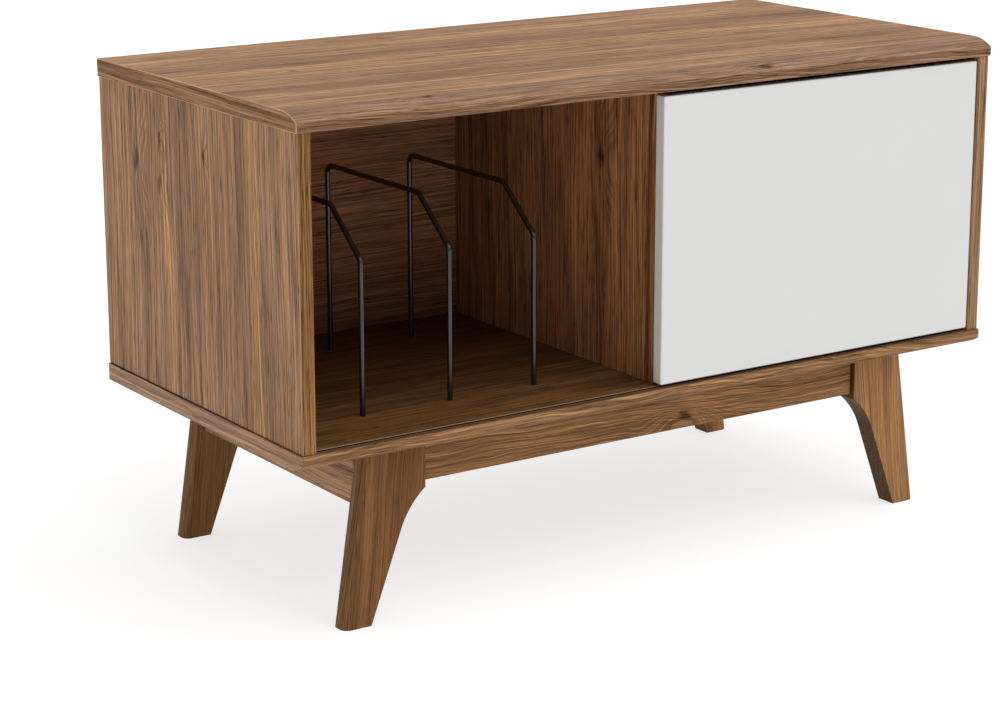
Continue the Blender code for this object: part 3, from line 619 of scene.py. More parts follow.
@dataclass(frozen=True)
class WalnutFinish:
    """Walnut-grain laminate on one kind of face, with its own cut of the figure.

    stripes are broad bands across the grain, each a place and a tone: above 0 is light, below it is dark.
    knots are each a place along the grain, a place across it, a size, and the size of the dark heart.
    """

    name: str
    grain: Grain
    offset: tuple[float, float, float]
    wander: float = 1.0
    ring: float = 0.0060
    fine: float = 1.0
    fibre: float = 1.0
    tilt: float = 0.05
    lines: float = 0.6
    streaks: float = 0.5
    gold: float = 0.6
    stripes: tuple[tuple[float, float], ...] = ()
    knots: Knots = ()
    tone: WoodTone = OUTER
    tint: Colour = (1.0, 1.0, 1.0)

    def stripe(self, wire: Wiring, across: Socket) -> Socket | float:
        """The tone of the broad bands.

        Args:
            wire: the material's wiring.
            across: how far across the grain a point lies.

        Returns:
            The tone, about -1 to 1, or 0 where the finish has no bands.
        """
        if not self.stripes:
            return 0.0
        first, last = self.stripes[0][0], self.stripes[-1][0]
        share = wire.add("ShaderNodeMapRange")
        for target, value in zip(share.inputs, (across, first + self.offset[1], last + self.offset[1])):
            wire.feed(target, value)
        bands = wire.add("ShaderNodeValToRGB")
        bands.color_ramp.interpolation = "EASE"
        stops = bands.color_ramp.elements
        for place, _ in self.stripes[1:-1]:
            stops.new((place - first) / (last - first))
        for stop, (_, tone) in zip(stops, self.stripes):
            stop.color = ((1 + tone) / 2,) * 3 + (1.0,)
        wire.feed(bands.inputs[0], share.outputs[0])
        return wire.math("MULTIPLY_ADD", bands.outputs["Color"], 2.0, -1.0)

    def swelling(self, wire: Wiring, along: Socket,
                 across: Socket) -> tuple[Socket | float, Socket | float]:
        """How the grain swells round the knots, and their dark hearts.

        Args:
            wire: the material's wiring.
            along: how far along the grain a point lies.
            across: how far across it the point lies.

        Returns:
            The swelling in metres, and the share of dark heart.
        """
        bulge, core = 0.0, 0.0
        if not self.knots:
            return bulge, core
        ripple = wire.noise(wire.stretch(wire.join(along, across, 0.0), KNOT_RIPPLE))
        ripple = wire.math("SUBTRACT", ripple, 0.5)
        for place, off, size, heart in self.knots:
            rim = heart / size
            far = wire.math("SUBTRACT", along, place + self.offset[0])
            far = wire.math("DIVIDE", far, size * KNOT_LENGTH)
            wide = wire.math("SUBTRACT", across, off + self.offset[1])
            wide = wire.math("DIVIDE", wide, size)
            away = wire.math("SQRT", wire.math("ADD", wire.math("MULTIPLY", far, far),
                                               wire.math("MULTIPLY", wide, wide)))
            bulge = wire.math("ADD", bulge, wire.ramp(away, 0.0, 1.0, size * KNOT_RISE, 0.0))
            edge = wire.math("MULTIPLY_ADD", ripple, KNOT_RAGGED * rim, away)
            core = wire.math("MAXIMUM", core, wire.ramp(edge, KNOT_INNER * rim, rim, KNOT_DARK, 0.0))
        return bulge, core

    def material(self) -> bpy.types.Material:
        """The finish as a material.

        Returns:
            The material, made on first use.
        """
        made = bpy.data.materials.get(self.name)
        if made:
            return made
        material, wire, shader = blank_material(self.name)
        where = wire.add("ShaderNodeTexCoord")
        lay = wire.add("ShaderNodeMapping", vector_type="POINT")
        wire.feed(lay.inputs["Vector"], where.outputs["Object"])
        lay.inputs["Rotation"].default_value = self.grain.turn()
        lay.inputs["Location"].default_value = self.offset
        flow = wire.add("ShaderNodeGroup", node_tree=GrainFlow().group())
        wire.feed(flow.inputs["Vector"], lay.outputs[0])
        flow.inputs["Wander"].default_value = self.wander
        along, across, _ = wire.parts(flow.outputs["Vector"])
        bulge, core = self.swelling(wire, along, across)
        figure = wire.add("ShaderNodeGroup", node_tree=WalnutFigure().group())
        for label, value in (("Vector", flow.outputs["Vector"]), ("Stripe", self.stripe(wire, across)),
                             ("Bulge", bulge), ("Core", core), ("Ring", self.ring), ("Fine", self.fine),
                             ("Fibre", self.fibre), ("Tilt", self.tilt), ("Lines", self.lines),
                             ("Streaks", self.streaks), ("Gold", self.gold)):
            wire.feed(figure.inputs[label], value)
        for label, colour in (("Light", self.tone.light), ("Mid", self.tone.mid),
                              ("Dark", self.tone.dark), ("Golden", self.tone.golden)):
            figure.inputs[label].default_value = (*map(operator.mul, colour, self.tint), 1.0)
        wire.feed(shader.inputs["Base Color"], figure.outputs["Color"])
        wire.feed(shader.inputs["Roughness"], figure.outputs["Roughness"])
        shader.inputs["Specular IOR Level"].default_value = WOOD_GLOSS
        roughen(wire, shader, figure.outputs["Height"], WOOD_BUMP, WOOD_RELIEF)
        return material


@dataclass(frozen=True)
class PlainFinish:
    """A coat, a plastic or a metal with slight unevenness."""

    name: str
    colour: Colour
    second: Colour
    smooth: float
    spread: float = 0.08
    metallic: float = 0.0
    coat: float = 0.0
    scale: float = 900.0
    bump: float = 0.08
    gloss: float = 0.5

    def material(self) -> bpy.types.Material:
        """The finish as a material.

        Returns:
            The material, made on first use.
        """
        made = bpy.data.materials.get(self.name)
        if made:
            return made
        material, wire, shader = blank_material(self.name)
        where = wire.add("ShaderNodeTexCoord")
        uneven = wire.add("ShaderNodeGroup", node_tree=SurfaceVariation().group())
        wire.feed(uneven.inputs["Vector"], where.outputs["Object"])
        uneven.inputs["Scale"].default_value = self.scale
        uneven.inputs["Smooth"].default_value = self.smooth
        uneven.inputs["Spread"].default_value = self.spread
        colour = wire.blend(uneven.outputs["Share"], (*self.colour, 1.0), (*self.second, 1.0))
        wire.feed(shader.inputs["Base Color"], colour)
        wire.feed(shader.inputs["Roughness"], uneven.outputs["Roughness"])
        shader.inputs["Metallic"].default_value = self.metallic
        shader.inputs["Specular IOR Level"].default_value = self.gloss
        shader.inputs["Coat Weight"].default_value = self.coat
        shader.inputs["Coat Roughness"].default_value = self.smooth * COAT_SMOOTHNESS
        roughen(wire, shader, uneven.outputs["Height"], self.bump, PLAIN_RELIEF)
        return material


def blank_material(name: str) -> tuple[bpy.types.Material, Wiring, bpy.types.Node]:
    """A new node material.

    Args:
        name: the material's name.

    Returns:
        The material, the wiring of its tree, and its Principled shader.
    """
    material = bpy.data.materials.new(name)
    material.use_nodes = True
    return material, Wiring(material.node_tree), material.node_tree.nodes["Principled BSDF"]


def roughen(wire: Wiring, shader: bpy.types.Node, height: Socket, strength: float, distance: float) -> None:
    """Give a shader a bump from a height.

    Args:
        wire: the material's wiring.
        shader: the shader that gets the bump.
        height: the height that varies over the surface.
        strength: how strong the bump is.
        distance: how high it stands, in metres.
    """
    bump = wire.add("ShaderNodeBump")
    bump.inputs["Strength"].default_value = strength
    bump.inputs["Distance"].default_value = distance
    wire.feed(bump.inputs["Height"], height)
    wire.feed(shader.inputs["Normal"], bump.outputs[0])


TOP_FACE = WalnutFinish("walnut_top", Grain.TOP, (0.2, 0.62, -0.50), ring=0.016, fine=1.1, fibre=1.6,
                        lines=0.40, streaks=0.35, gold=0.8, tilt=0.02, tint=(1.62, 1.57, 1.42),
                        stripes=((-0.23, 0.1), (-0.185, 0.5), (-0.165, -0.3), (-0.14, 0.3), (-0.11, -0.5),
                                 (-0.085, -0.3), (-0.06, 0.2), (-0.035, -0.1), (0.0, 0.4), (0.033, 0.7),
                                 (0.045, -0.2), (0.09, -0.55), (0.125, -0.3), (0.142, 0.6), (0.18, 0.1),
                                 (0.23, 0.2)),
                        knots=((0.185, 0.045, 0.010, 0.003), (0.335, 0.138, 0.008, 0.0025),
                               (-0.33, 0.010, 0.010, 0.003)))
NOSE_FACE = WalnutFinish("walnut_nose", Grain.BOARD, (2.6, 0.55, -0.45), wander=1.8, ring=0.0075, fine=1.9,
                         fibre=1.3, lines=0.55, streaks=0.55, gold=0.3, tint=(1.39, 1.48, 1.65),
                         knots=((0.13, -0.212, 0.022, 0.006), (-0.30, -0.205, 0.018, 0.004)))
TOP_EDGE = WalnutFinish("walnut_top_edge", Grain.RAIL_FACE, (1.8, -0.15, 0.05), wander=1.6, ring=0.0048,
                        fine=2.0, fibre=1.7, lines=0.7, gold=0.7, tone=FRONT, tint=(1.27, 1.36, 1.66))
# Its bands are grain, except the top ones: those paint a highlight, the light line just under the upper arris
# of the board's end.
TOP_END = WalnutFinish("walnut_top_end", Grain.BOARD_END, (0.4, -0.21, 0.40), ring=0.0048, fine=1.7,
                       fibre=1.5, lines=0.45, streaks=0.6, gold=0.4, tint=(1.25, 1.13, 0.94),
                       stripes=((0.5385, 0.3), (0.5410, -0.2), (0.5440, -0.6), (0.5470, 0.1), (0.5500, -0.3),
                                (0.5525, -0.6), (0.5555, 0.2), (0.5572, 0.5), (0.5578, 1.0), (0.5590, 1.0)))
# Painted highlight: a near-white tint on the rounding round the top board's ends, for the light line that the
# arris catches.
END_HIGHLIGHT = WalnutFinish("walnut_end_highlight", Grain.BOARD_END, (1.6, 0.12, 0.40), lines=0.2, streaks=0.2,
                        gold=0.5, tint=(1.95, 1.96, 1.93))
# Its bands paint shade: the bay's floor runs lighter at the front and darker towards the rear, where less
# light reaches.
FLOOR_FACE = WalnutFinish("walnut_floor", Grain.BOARD, (1.1, 0.57, -0.15), fine=0.8, fibre=1.5, lines=0.35,
                          streaks=0.4, gold=0.9, tone=SHADED_BAY, tint=(1.00, 1.04, 0.91),
                          stripes=((-0.225, 0.5), (-0.19, 0.5), (-0.16, 0.1), (-0.13, 0.3), (-0.10, -0.3),
                                   (0.0, -0.7), (0.10, -0.9), (0.20, -1.0)))
LOWER_NOSE = WalnutFinish("walnut_lower_nose", Grain.BOARD, (0.9, 0.55, -0.45), wander=2.2, ring=0.0075,
                          fine=2.0, fibre=1.3, lines=0.55, gold=0.6, tone=FRONT, tint=(1.04, 1.00, 0.90))
FLOOR_EDGE = WalnutFinish("walnut_floor_edge", Grain.RAIL_FACE, (3.1, 0.12, 0.05), wander=2.2, ring=0.0055,
                          fine=2.0, fibre=1.5, lines=0.6, gold=0.9, tone=FRONT, tint=(1.49, 1.53, 1.46))
FLOOR_END = WalnutFinish("walnut_floor_end", Grain.BOARD_END, (2.3, 0.33, 0.40), ring=0.0055, fine=1.7,
                         fibre=1.4, lines=0.55, gold=0.3, tint=(1.36, 1.40, 1.47))
LEFT_FACE = WalnutFinish("walnut_left", Grain.UPRIGHT, (0.7, 0.62, -0.36), ring=0.0075, fine=1.75, fibre=1.9,
                         lines=0.5, streaks=0.15, gold=0.9, tint=(1.28, 1.22, 1.12),
                         stripes=((-0.222, -0.1), (-0.20, -0.1), (-0.190, 0.5), (-0.181, -0.1),
                                  (-0.158, -0.3), (-0.141, -0.1), (-0.133, 1.0), (-0.117, 1.0),
                                  (-0.110, -0.3), (-0.098, -0.7), (-0.085, 0.0), (-0.056, -0.1),
                                  (-0.025, 0.1), (-0.011, 0.4), (0.005, -0.2), (0.030, -0.5), (0.055, -0.2),
                                  (0.070, 1.0), (0.082, 0.0), (0.125, -0.2), (0.143, -0.1), (0.160, 0.7),
                                  (0.180, -0.1), (0.190, 0.5), (0.205, 0.0)),
                         knots=((0.461, 0.139, 0.042, 0.008), (0.486, 0.083, 0.018, 0.0045),
                                (0.441, 0.084, 0.026, 0.0055), (0.486, -0.016, 0.016, 0.004)))
RIGHT_FACE = WalnutFinish("walnut_right", Grain.UPRIGHT, (1.9, 0.64, 0.56), ring=0.0075, fine=1.65, fibre=1.8,
                          lines=0.5, streaks=0.35, gold=0.8, tint=(1.32, 1.26, 1.17),
                          knots=((0.33, 0.06, 0.040, 0.008), (0.45, -0.11, 0.024, 0.005)))
# Its bands paint shade: a dark band just behind the door's edge stands for the shadow in the gap there, and
# the face runs darker towards the rear of the bay.
DIVIDER_FACE = WalnutFinish("walnut_divider", Grain.UPRIGHT, (3.2, 0.66, 0.05), ring=0.009, fine=1.5,
                            fibre=1.9, lines=0.5, streaks=0.4, gold=0.9, tone=SHADED_BAY, tint=(2.32, 2.43, 2.30),
                            stripes=((-0.222, 0.2), (-0.1965, 0.2), (-0.1945, -1.0), (-0.1890, -1.0),
                                     (-0.1870, 0.2), (-0.15, 0.1), (-0.08, 0.0), (0.0, -0.15), (0.10, -0.35),
                                     (0.20, -0.6)),
                            knots=((0.45, -0.10, 0.042, 0.006), (0.33, 0.03, 0.020, 0.004)))
LEFT_EDGE = WalnutFinish("walnut_left_edge", Grain.UPRIGHT_EDGE, (0.3, 0.9, 0.31), ring=0.003, fine=1.8,
                         fibre=2.0, lines=0.35, streaks=0.15, gold=1.0, tone=FRONT, tint=(1.05, 1.00, 0.76))
RIGHT_EDGE = WalnutFinish("walnut_right_edge", Grain.UPRIGHT_EDGE, (0.3, -0.06, 0.31), ring=0.0045, fine=2.0,
                          fibre=1.7, lines=0.6, gold=0.9, tone=FRONT, tint=(1.53, 1.80, 2.01))
BACK_FACE = WalnutFinish("walnut_back", Grain.RAIL_FACE, (0.5, 0.42, 0.04), fine=1.5, fibre=1.5, lines=0.4,
                         gold=0.5, tone=SHADED_BAY, tint=(1.75, 1.82, 2.00),
                         stripes=((0.21, -0.9), (0.27, -0.4), (0.34, 0.1), (0.45, 0.1), (0.54, 0.4)))
APRON_FACE = WalnutFinish("walnut_apron", Grain.RAIL_FACE, (1.4, 0.30, 0.05), wander=2.4, ring=0.0062,
                          fine=2.2, fibre=1.5, lines=0.65, gold=0.8, tone=FRONT, tint=(1.37, 1.33, 1.18),
                          knots=((0.05, 0.167, 0.030, 0.0045),))
RAIL_FACE = WalnutFinish("walnut_rail", Grain.BOARD_END, (0.9, 0.32, 0.35), wander=1.6, fine=1.7, fibre=1.3,
                         lines=0.5, gold=0.2, tint=(1.22, 1.18, 1.10),
                         stripes=((0.146, 0.3), (0.155, 0.2), (0.163, -0.8), (0.169, 0.2), (0.176, -0.9),
                                  (0.184, 0.3), (0.191, 0.2)))
LEG_LEFT = WalnutFinish("walnut_leg_left", Grain.LEG_LEFT, (0.6, 0.82, 0.12), ring=0.0065, fine=2.6,
                        fibre=1.2, lines=0.4, streaks=1.2, gold=0.9, tone=FRONT, tint=(0.72, 0.60, 0.46))
# Painted shade: the rear left leg gets a copy of the front one's finish, tinted for the shade that it stands
# in under the cabinet.
LEG_REAR_LEFT_SHADED = replace(LEG_LEFT, name="walnut_leg_rear_left", tint=(0.74, 0.66, 0.45))
LEG_RIGHT = WalnutFinish("walnut_leg_right", Grain.LEG_RIGHT, (1.7, 0.16, 0.06), ring=0.0065, fine=2.6,
                         fibre=1.3, lines=0.4, streaks=0.9, gold=0.9, tone=FRONT, tint=(1.42, 1.40, 1.27))
LEG_LEFT_SIDE = WalnutFinish("walnut_leg_left_side", Grain.LEG_LEFT_SIDE, (2.2, 0.48, 0.20), ring=0.0065,
                             fine=2.2, fibre=1.4, lines=0.45, gold=0.4, tone=FRONT, tint=(0.79, 0.79, 0.66))
LEG_RIGHT_SIDE = WalnutFinish("walnut_leg_right_side", Grain.LEG_RIGHT_SIDE, (1.3, 0.28, 0.20), ring=0.0065,
                              fine=2.2, fibre=1.4, lines=0.45, gold=0.6, tone=FRONT, tint=(1.12, 1.10, 0.97))
# Painted shade: the faces of the legs turned to the middle of the stand get a much darker tint, for the shade
# under the cabinet.
LEG_INNER_SHADED = WalnutFinish("walnut_leg_inner_shaded", Grain.UPRIGHT, (1.2, 0.38, 0.30), ring=0.0065, fine=2.2,
                         fibre=1.3, lines=0.4, gold=0.4, tone=FRONT, tint=(0.32, 0.31, 0.21))

LACQUER = PlainFinish("gloss_white_lacquer", (0.718, 0.718, 0.713), (0.732, 0.732, 0.727), 0.12, 0.03,
                      coat=0.5, scale=260, bump=0.01)
# Painted light: the door's side edges get a lighter copy of the lacquer, brightening them as light falling on
# them would.
DOOR_EDGE_LIGHT = replace(LACQUER, name="lit_white_edge", colour=(0.815, 0.795, 0.765),
                    second=(0.830, 0.810, 0.780))
WIRE_COAT = PlainFinish("black_wire_coat", (0.0035, 0.0034, 0.0033), (0.0070, 0.0068, 0.0066), 0.24, 0.08,
                        scale=2200, bump=0.10, gloss=0.8)
TRACK_PLASTIC = PlainFinish("brown_track", (0.130, 0.074, 0.040), (0.165, 0.096, 0.054), 0.42, 0.10,
                            gloss=0.12)
# Painted highlight: a lighter copy of the track plastic on the rear lip, for the light line that its edge
# catches.
TRACK_LIP_HIGHLIGHT = PlainFinish("brown_track_lip_highlight", (0.330, 0.235, 0.135), (0.380, 0.275, 0.165), 0.38, 0.10,
                        gloss=0.3)
# Painted shade: a near-black finish for the faces inside the channel's groove, standing in for the shade in
# it.
TRACK_GROOVE_SHADE = PlainFinish("painted_groove_shade", (0.014, 0.008, 0.005), (0.022, 0.013, 0.008), 0.70, 0.10,
                           gloss=0.04)
NYLON = PlainFinish("dark_nylon", (0.026, 0.022, 0.020), (0.035, 0.031, 0.029), 0.46, 0.10)
ZINC = PlainFinish("cast_zinc", (0.56, 0.56, 0.54), (0.66, 0.66, 0.64), 0.34, 0.14, metallic=1.0, bump=0.12)
STEEL = PlainFinish("plated_steel", (0.52, 0.52, 0.53), (0.60, 0.60, 0.61), 0.26, 0.12, metallic=1.0,
                    scale=1400)

Finish = WalnutFinish | PlainFinish


def block(low: Vector, high: Vector) -> bmesh.types.BMesh:
    """A block between two corners.

    Args:
        low: its lowest corner.
        high: its highest corner.

    Returns:
        The block as a mesh in the frame's place.
    """
    shape = bmesh.new()
    size = Vector(high) - Vector(low)
    middle = (Vector(high) + Vector(low)) / 2
    bmesh.ops.create_cube(shape, size=1.0, matrix=Matrix.Translation(middle) @ Matrix.Diagonal((*size, 1.0)))
    return shape


def drawn(corners: Sequence[Sequence[float]], travel: Sequence[float]) -> bmesh.types.BMesh:
    """A closed outline, drawn out along a straight line.

    Args:
        corners: the outline's corners.
        travel: how far and which way it is drawn.

    Returns:
        The solid, with its faces turned out.
    """
    shape = bmesh.new()
    face = shape.faces.new([shape.verts.new(corner) for corner in corners])
    grown = bmesh.ops.extrude_face_region(shape, geom=[face])
    moved = [item for item in grown["geom"] if isinstance(item, bmesh.types.BMVert)]
    bmesh.ops.translate(shape, verts=moved, vec=travel)
    bmesh.ops.recalc_face_normals(shape, faces=shape.faces)
    return shape


def turned(profile: Sequence[tuple[float, float]], sides: int, foot: Vector,
           axis: Sequence[float] = (0, 0, 1), hollow: bool = False) -> bmesh.types.BMesh:
    """A profile turned on a lathe.

    Args:
        profile: points of radius and height.
        sides: how many sides the turned shape has.
        foot: where the profile's foot stands.
        axis: the way that its height runs.
        hollow: True for a closed profile that stays off the axis.

    Returns:
        The turned solid, with its faces turned out.
    """
    shape = bmesh.new()
    points = [shape.verts.new((radius, 0.0, height)) for radius, height in profile]
    edges = [shape.edges.new(pair) for pair in zip(points, points[1:])]
    if hollow:
        edges.append(shape.edges.new((points[-1], points[0])))
    bmesh.ops.spin(shape, geom=points + edges, axis=(0, 0, 1), cent=(0, 0, 0), angle=2 * math.pi, steps=sides)
    bmesh.ops.remove_doubles(shape, verts=shape.verts, dist=MERGE)
    bmesh.ops.recalc_face_normals(shape, faces=shape.faces)
    lean = Vector((0, 0, 1)).rotation_difference(Vector(axis)).to_matrix().to_4x4()
    bmesh.ops.transform(shape, verts=shape.verts, matrix=Matrix.Translation(foot) @ lean)
    return shape


def soften(shape: bmesh.types.BMesh, width: float, steps: int = 3) -> bmesh.types.BMesh:
    """Round every sharp arris of a solid.

    Args:
        shape: the solid.
        width: the width of the rounding.
        steps: how many facets it has.

    Returns:
        The same solid.
    """
    edges = [edge for edge in shape.edges if edge.is_manifold and edge.calc_face_angle() > ARRIS]
    bmesh.ops.bevel(shape, geom=edges, offset=width, offset_type="OFFSET", segments=steps,
                    profile=ROUND_PROFILE, affect="EDGES", clamp_overlap=True)
    return shape


def loose(name: str, shape: bmesh.types.BMesh) -> bpy.types.Object:
    """A mesh object from a solid, at the origin.

    Args:
        name: the object's name.
        shape: the solid, which is used up.

    Returns:
        The object.
    """
    mesh = bpy.data.meshes.new(name)
    shape.to_mesh(mesh)
    shape.free()
    made = bpy.data.objects.new(name, mesh)
    bpy.context.scene.collection.objects.link(made)
    return made


def flatten(piece: bpy.types.Object) -> None:
    """Turn a piece and its modifiers into a plain mesh.

    Args:
        piece: the piece.
    """
    graph = bpy.context.evaluated_depsgraph_get()
    mesh = bpy.data.meshes.new_from_object(piece.evaluated_get(graph))
    piece.modifiers.clear()
    piece.data = mesh


def cut_away(piece: bpy.types.Object, cutters: Iterable[bmesh.types.BMesh]) -> None:
    """Take solids out of a piece, and leave it a plain mesh.

    Args:
        piece: the piece that is cut.
        cutters: closed solids in the frame's place.
    """
    tools = [loose(piece.name + "_cut", shape) for shape in cutters]
    for tool in tools:
        modifier = piece.modifiers.new("cut", "BOOLEAN")
        modifier.operation = "DIFFERENCE"
        modifier.object = tool
    flatten(piece)
    for tool in tools:
        bpy.data.objects.remove(tool, do_unlink=True)


def smooth_over(piece: bpy.types.Object) -> None:
    """Shade a piece smooth over its roundings, and flat on its faces.

    Args:
        piece: the piece.
    """
    piece.data.shade_smooth()
    piece.data.set_sharp_from_angle(angle=SHARP)
    modifier = piece.modifiers.new("even", "WEIGHTED_NORMAL")
    modifier.keep_sharp = True
    flatten(piece)


def settle(piece: bpy.types.Object, body: str, nodes: Sequence[str]) -> bpy.types.Object:
    """Put a finished piece on its body.

    Args:
        piece: the finished piece.
        body: the body that it rides on.
        nodes: the nodes that it stands for.

    Returns:
        The same piece.
    """
    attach(piece, body)
    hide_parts(*nodes)
    LOG.info("%s stands for %s on %s", piece.name, ", ".join(nodes), body)
    return piece


def dress(piece: bpy.types.Object, face: Finish, end: Finish | None = None, edge: Finish | None = None,
          nose: Finish | None = None, inner: Finish | None = None, line: Finish | None = None) -> None:
    """Give a piece its finishes by the way that its faces point.

    Args:
        piece: the piece to dress.
        face: the finish of its main faces.
        end: the finish of faces that point along X.
        edge: the finish of faces that point along Y.
        nose: the finish of faces that slope away to the front.
        inner: the finish of faces that turn to the middle of the stand.
        line: the finish of the narrow rounding round its ends, a painted highlight.
    """
    worn = [face]
    for finish in (end, edge, nose, inner, line):
        if finish and finish not in worn:
            worn.append(finish)
    piece.data.materials.clear()
    for finish in worn:
        piece.data.materials.append(finish.material())
    for polygon in piece.data.polygons:
        normal = polygon.normal
        chosen = face
        if inner and normal.x * math.copysign(1.0, polygon.center.x) < INNER_SLOPE:
            chosen = inner
        elif line and LINE_SLOPES[0] < abs(normal.x) < LINE_SLOPES[1]:
            chosen = line
        elif end and abs(normal.x) > ALONG_AXIS:
            chosen = end
        elif edge and abs(normal.y) > ALONG_AXIS:
            chosen = edge
        elif nose and normal.y < NOSE_SLOPE and abs(normal.x) < NOSE_SPREAD:
            chosen = nose
        polygon.material_index = worn.index(chosen)


@dataclass
class Cabinet:
    """The boards of the carcass: top, floor, two sides, divider and back."""

    nose_depth: float = 0.030
    nose_edge: float = 0.0105
    nose_steps: int = 28
    arris: float = 0.0008
    panel_arris: float = 0.0005
    track_gap: float = 0.0009
    sink_radius: float = 0.0053
    sink_depth: float = 0.0043
    sink_sides: int = 40
    cam_radius: float = 0.0075
    pocket_sides: int = 48

    def board(self, name: str, node: str, up: int) -> bpy.types.Object:
        """A full-size board with its curved nose.

        Args:
            name: the piece's name.
            node: the node that gives its size.
            up: 1 for a nose on the upper face, -1 for one on the underside.

        Returns:
            The board, not yet cut.
        """
        low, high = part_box(node)
        flat_z, nose_z = (low.z, high.z) if up > 0 else (high.z, low.z)
        fall = high.z - low.z - self.nose_edge
        radius = (self.nose_depth ** 2 + fall ** 2) / (2 * fall)
        sweep = math.asin(self.nose_depth / radius)
        outline = [(low.y, flat_z), (high.y, flat_z), (high.y, nose_z)]
        for step in range(self.nose_steps + 1):
            angle = sweep * step / self.nose_steps
            outline.append((low.y + self.nose_depth - radius * math.sin(angle),
                            nose_z - up * radius * (1 - math.cos(angle))))
        shape = drawn([(low.x, y, z) for y, z in outline], (high.x - low.x, 0, 0))
        return loose(name, soften(shape, self.arris))

    def track_slot(self, node: str, way: int) -> bmesh.types.BMesh:
        """The slot that a door channel lies in.

        Args:
            node: the channel's node.
            way: 1 for a slot that opens upwards and -1 for one that opens downwards.

        Returns:
            The solid to cut out.
        """
        low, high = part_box(node)
        low, high = low - Vector((SEAT,) * 3), high + Vector((SEAT,) * 3)
        if way > 0:
            low.y -= self.track_gap
            high.z += OVERCUT
        else:
            low.z -= OVERCUT
        return block(low, high)

    def back_slot(self) -> bmesh.types.BMesh:
        """The room of the back panel in the boards and sides."""
        low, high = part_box("back_panel")
        return block(low - Vector((SEAT,) * 3), high + Vector((SEAT,) * 3))

    def cam_pockets(self, panel: str) -> list[bmesh.types.BMesh]:
        """The pockets of a panel's two cam locks.

        Args:
            panel: left, centre or right. The right panel's pockets open to the left.

        Returns:
            The solids to cut out.
        """
        pockets = []
        for row in ROWS:
            low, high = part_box(f"{panel}_{row}_cam_lock")
            middle = (low + high) / 2
            mouth = OVERCUT if panel != "right" else 0.0
            heel = OVERCUT if panel == "right" else 0.0
            foot = Vector((low.x - SEAT - heel, middle.y, middle.z))
            length = high.x - low.x + SEAT + heel + mouth
            radius = self.cam_radius + SEAT
            pockets.append(turned([(0, 0), (radius, 0), (radius, length), (0, length)], self.pocket_sides,
                                  foot, (1, 0, 0)))
        return pockets

    def screw_sinks(self) -> list[bmesh.types.BMesh]:
        """The counterbores in the floor's underside.

        Returns:
            The solids to cut out.
        """
        depth = self.sink_depth + OVERCUT
        profile = [(0, 0), (self.sink_radius, 0), (self.sink_radius, depth), (0, depth)]
        sinks = []
        for place in FASTENER_PLACES:
            low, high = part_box(f"{place}_screw")
            middle = (low + high) / 2
            foot = Vector((middle.x, middle.y, low.z - OVERCUT))
            sinks.append(turned(profile, self.sink_sides, foot))
        return sinks

    def panel(self, name: str, node: str, cutters: list[bmesh.types.BMesh], face: Finish,
              edge: Finish) -> bpy.types.Object:
        """An upright panel.

        Args:
            name: the piece's name.
            node: the node that it stands for.
            cutters: what is cut out of it.
            face: the finish of its faces.
            edge: the finish of its front and rear edges.

        Returns:
            The finished panel.
        """
        piece = loose(name, soften(block(*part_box(node)), self.panel_arris))
        cut_away(piece, cutters)
        smooth_over(piece)
        dress(piece, face, edge=edge)
        return settle(piece, "carcass", [node])

    def build(self) -> None:
        """Make and dress the boards."""
        top = self.board("top_board", "top_panel", 1)
        cut_away(top, [self.track_slot("top_track", -1), self.back_slot()])
        smooth_over(top)
        dress(top, TOP_FACE, TOP_END, TOP_EDGE, NOSE_FACE, line=END_HIGHLIGHT)
        settle(top, "carcass", ["top_panel"])

        floor = self.board("floor_board", "bottom_panel", -1)
        cut_away(floor, [self.track_slot("bottom_track", 1), self.back_slot(), *self.screw_sinks()])
        smooth_over(floor)
        dress(floor, FLOOR_FACE, FLOOR_END, FLOOR_EDGE, LOWER_NOSE)
        settle(floor, "carcass", ["bottom_panel"])

        self.panel("left_side", "left_side_panel", [self.back_slot(), *self.cam_pockets("left")],
                   LEFT_FACE, LEFT_EDGE)
        self.panel("right_side", "right_side_panel", [self.back_slot(), *self.cam_pockets("right")],
                   RIGHT_FACE, RIGHT_EDGE)
        self.panel("divider", "centre_divider", self.cam_pockets("centre"), DIVIDER_FACE, LEFT_EDGE)
        back = loose("rear_panel", soften(block(*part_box("back_panel")), self.panel_arris))
        smooth_over(back)
        dress(back, BACK_FACE)
        settle(back, "carcass", ["back_panel"])


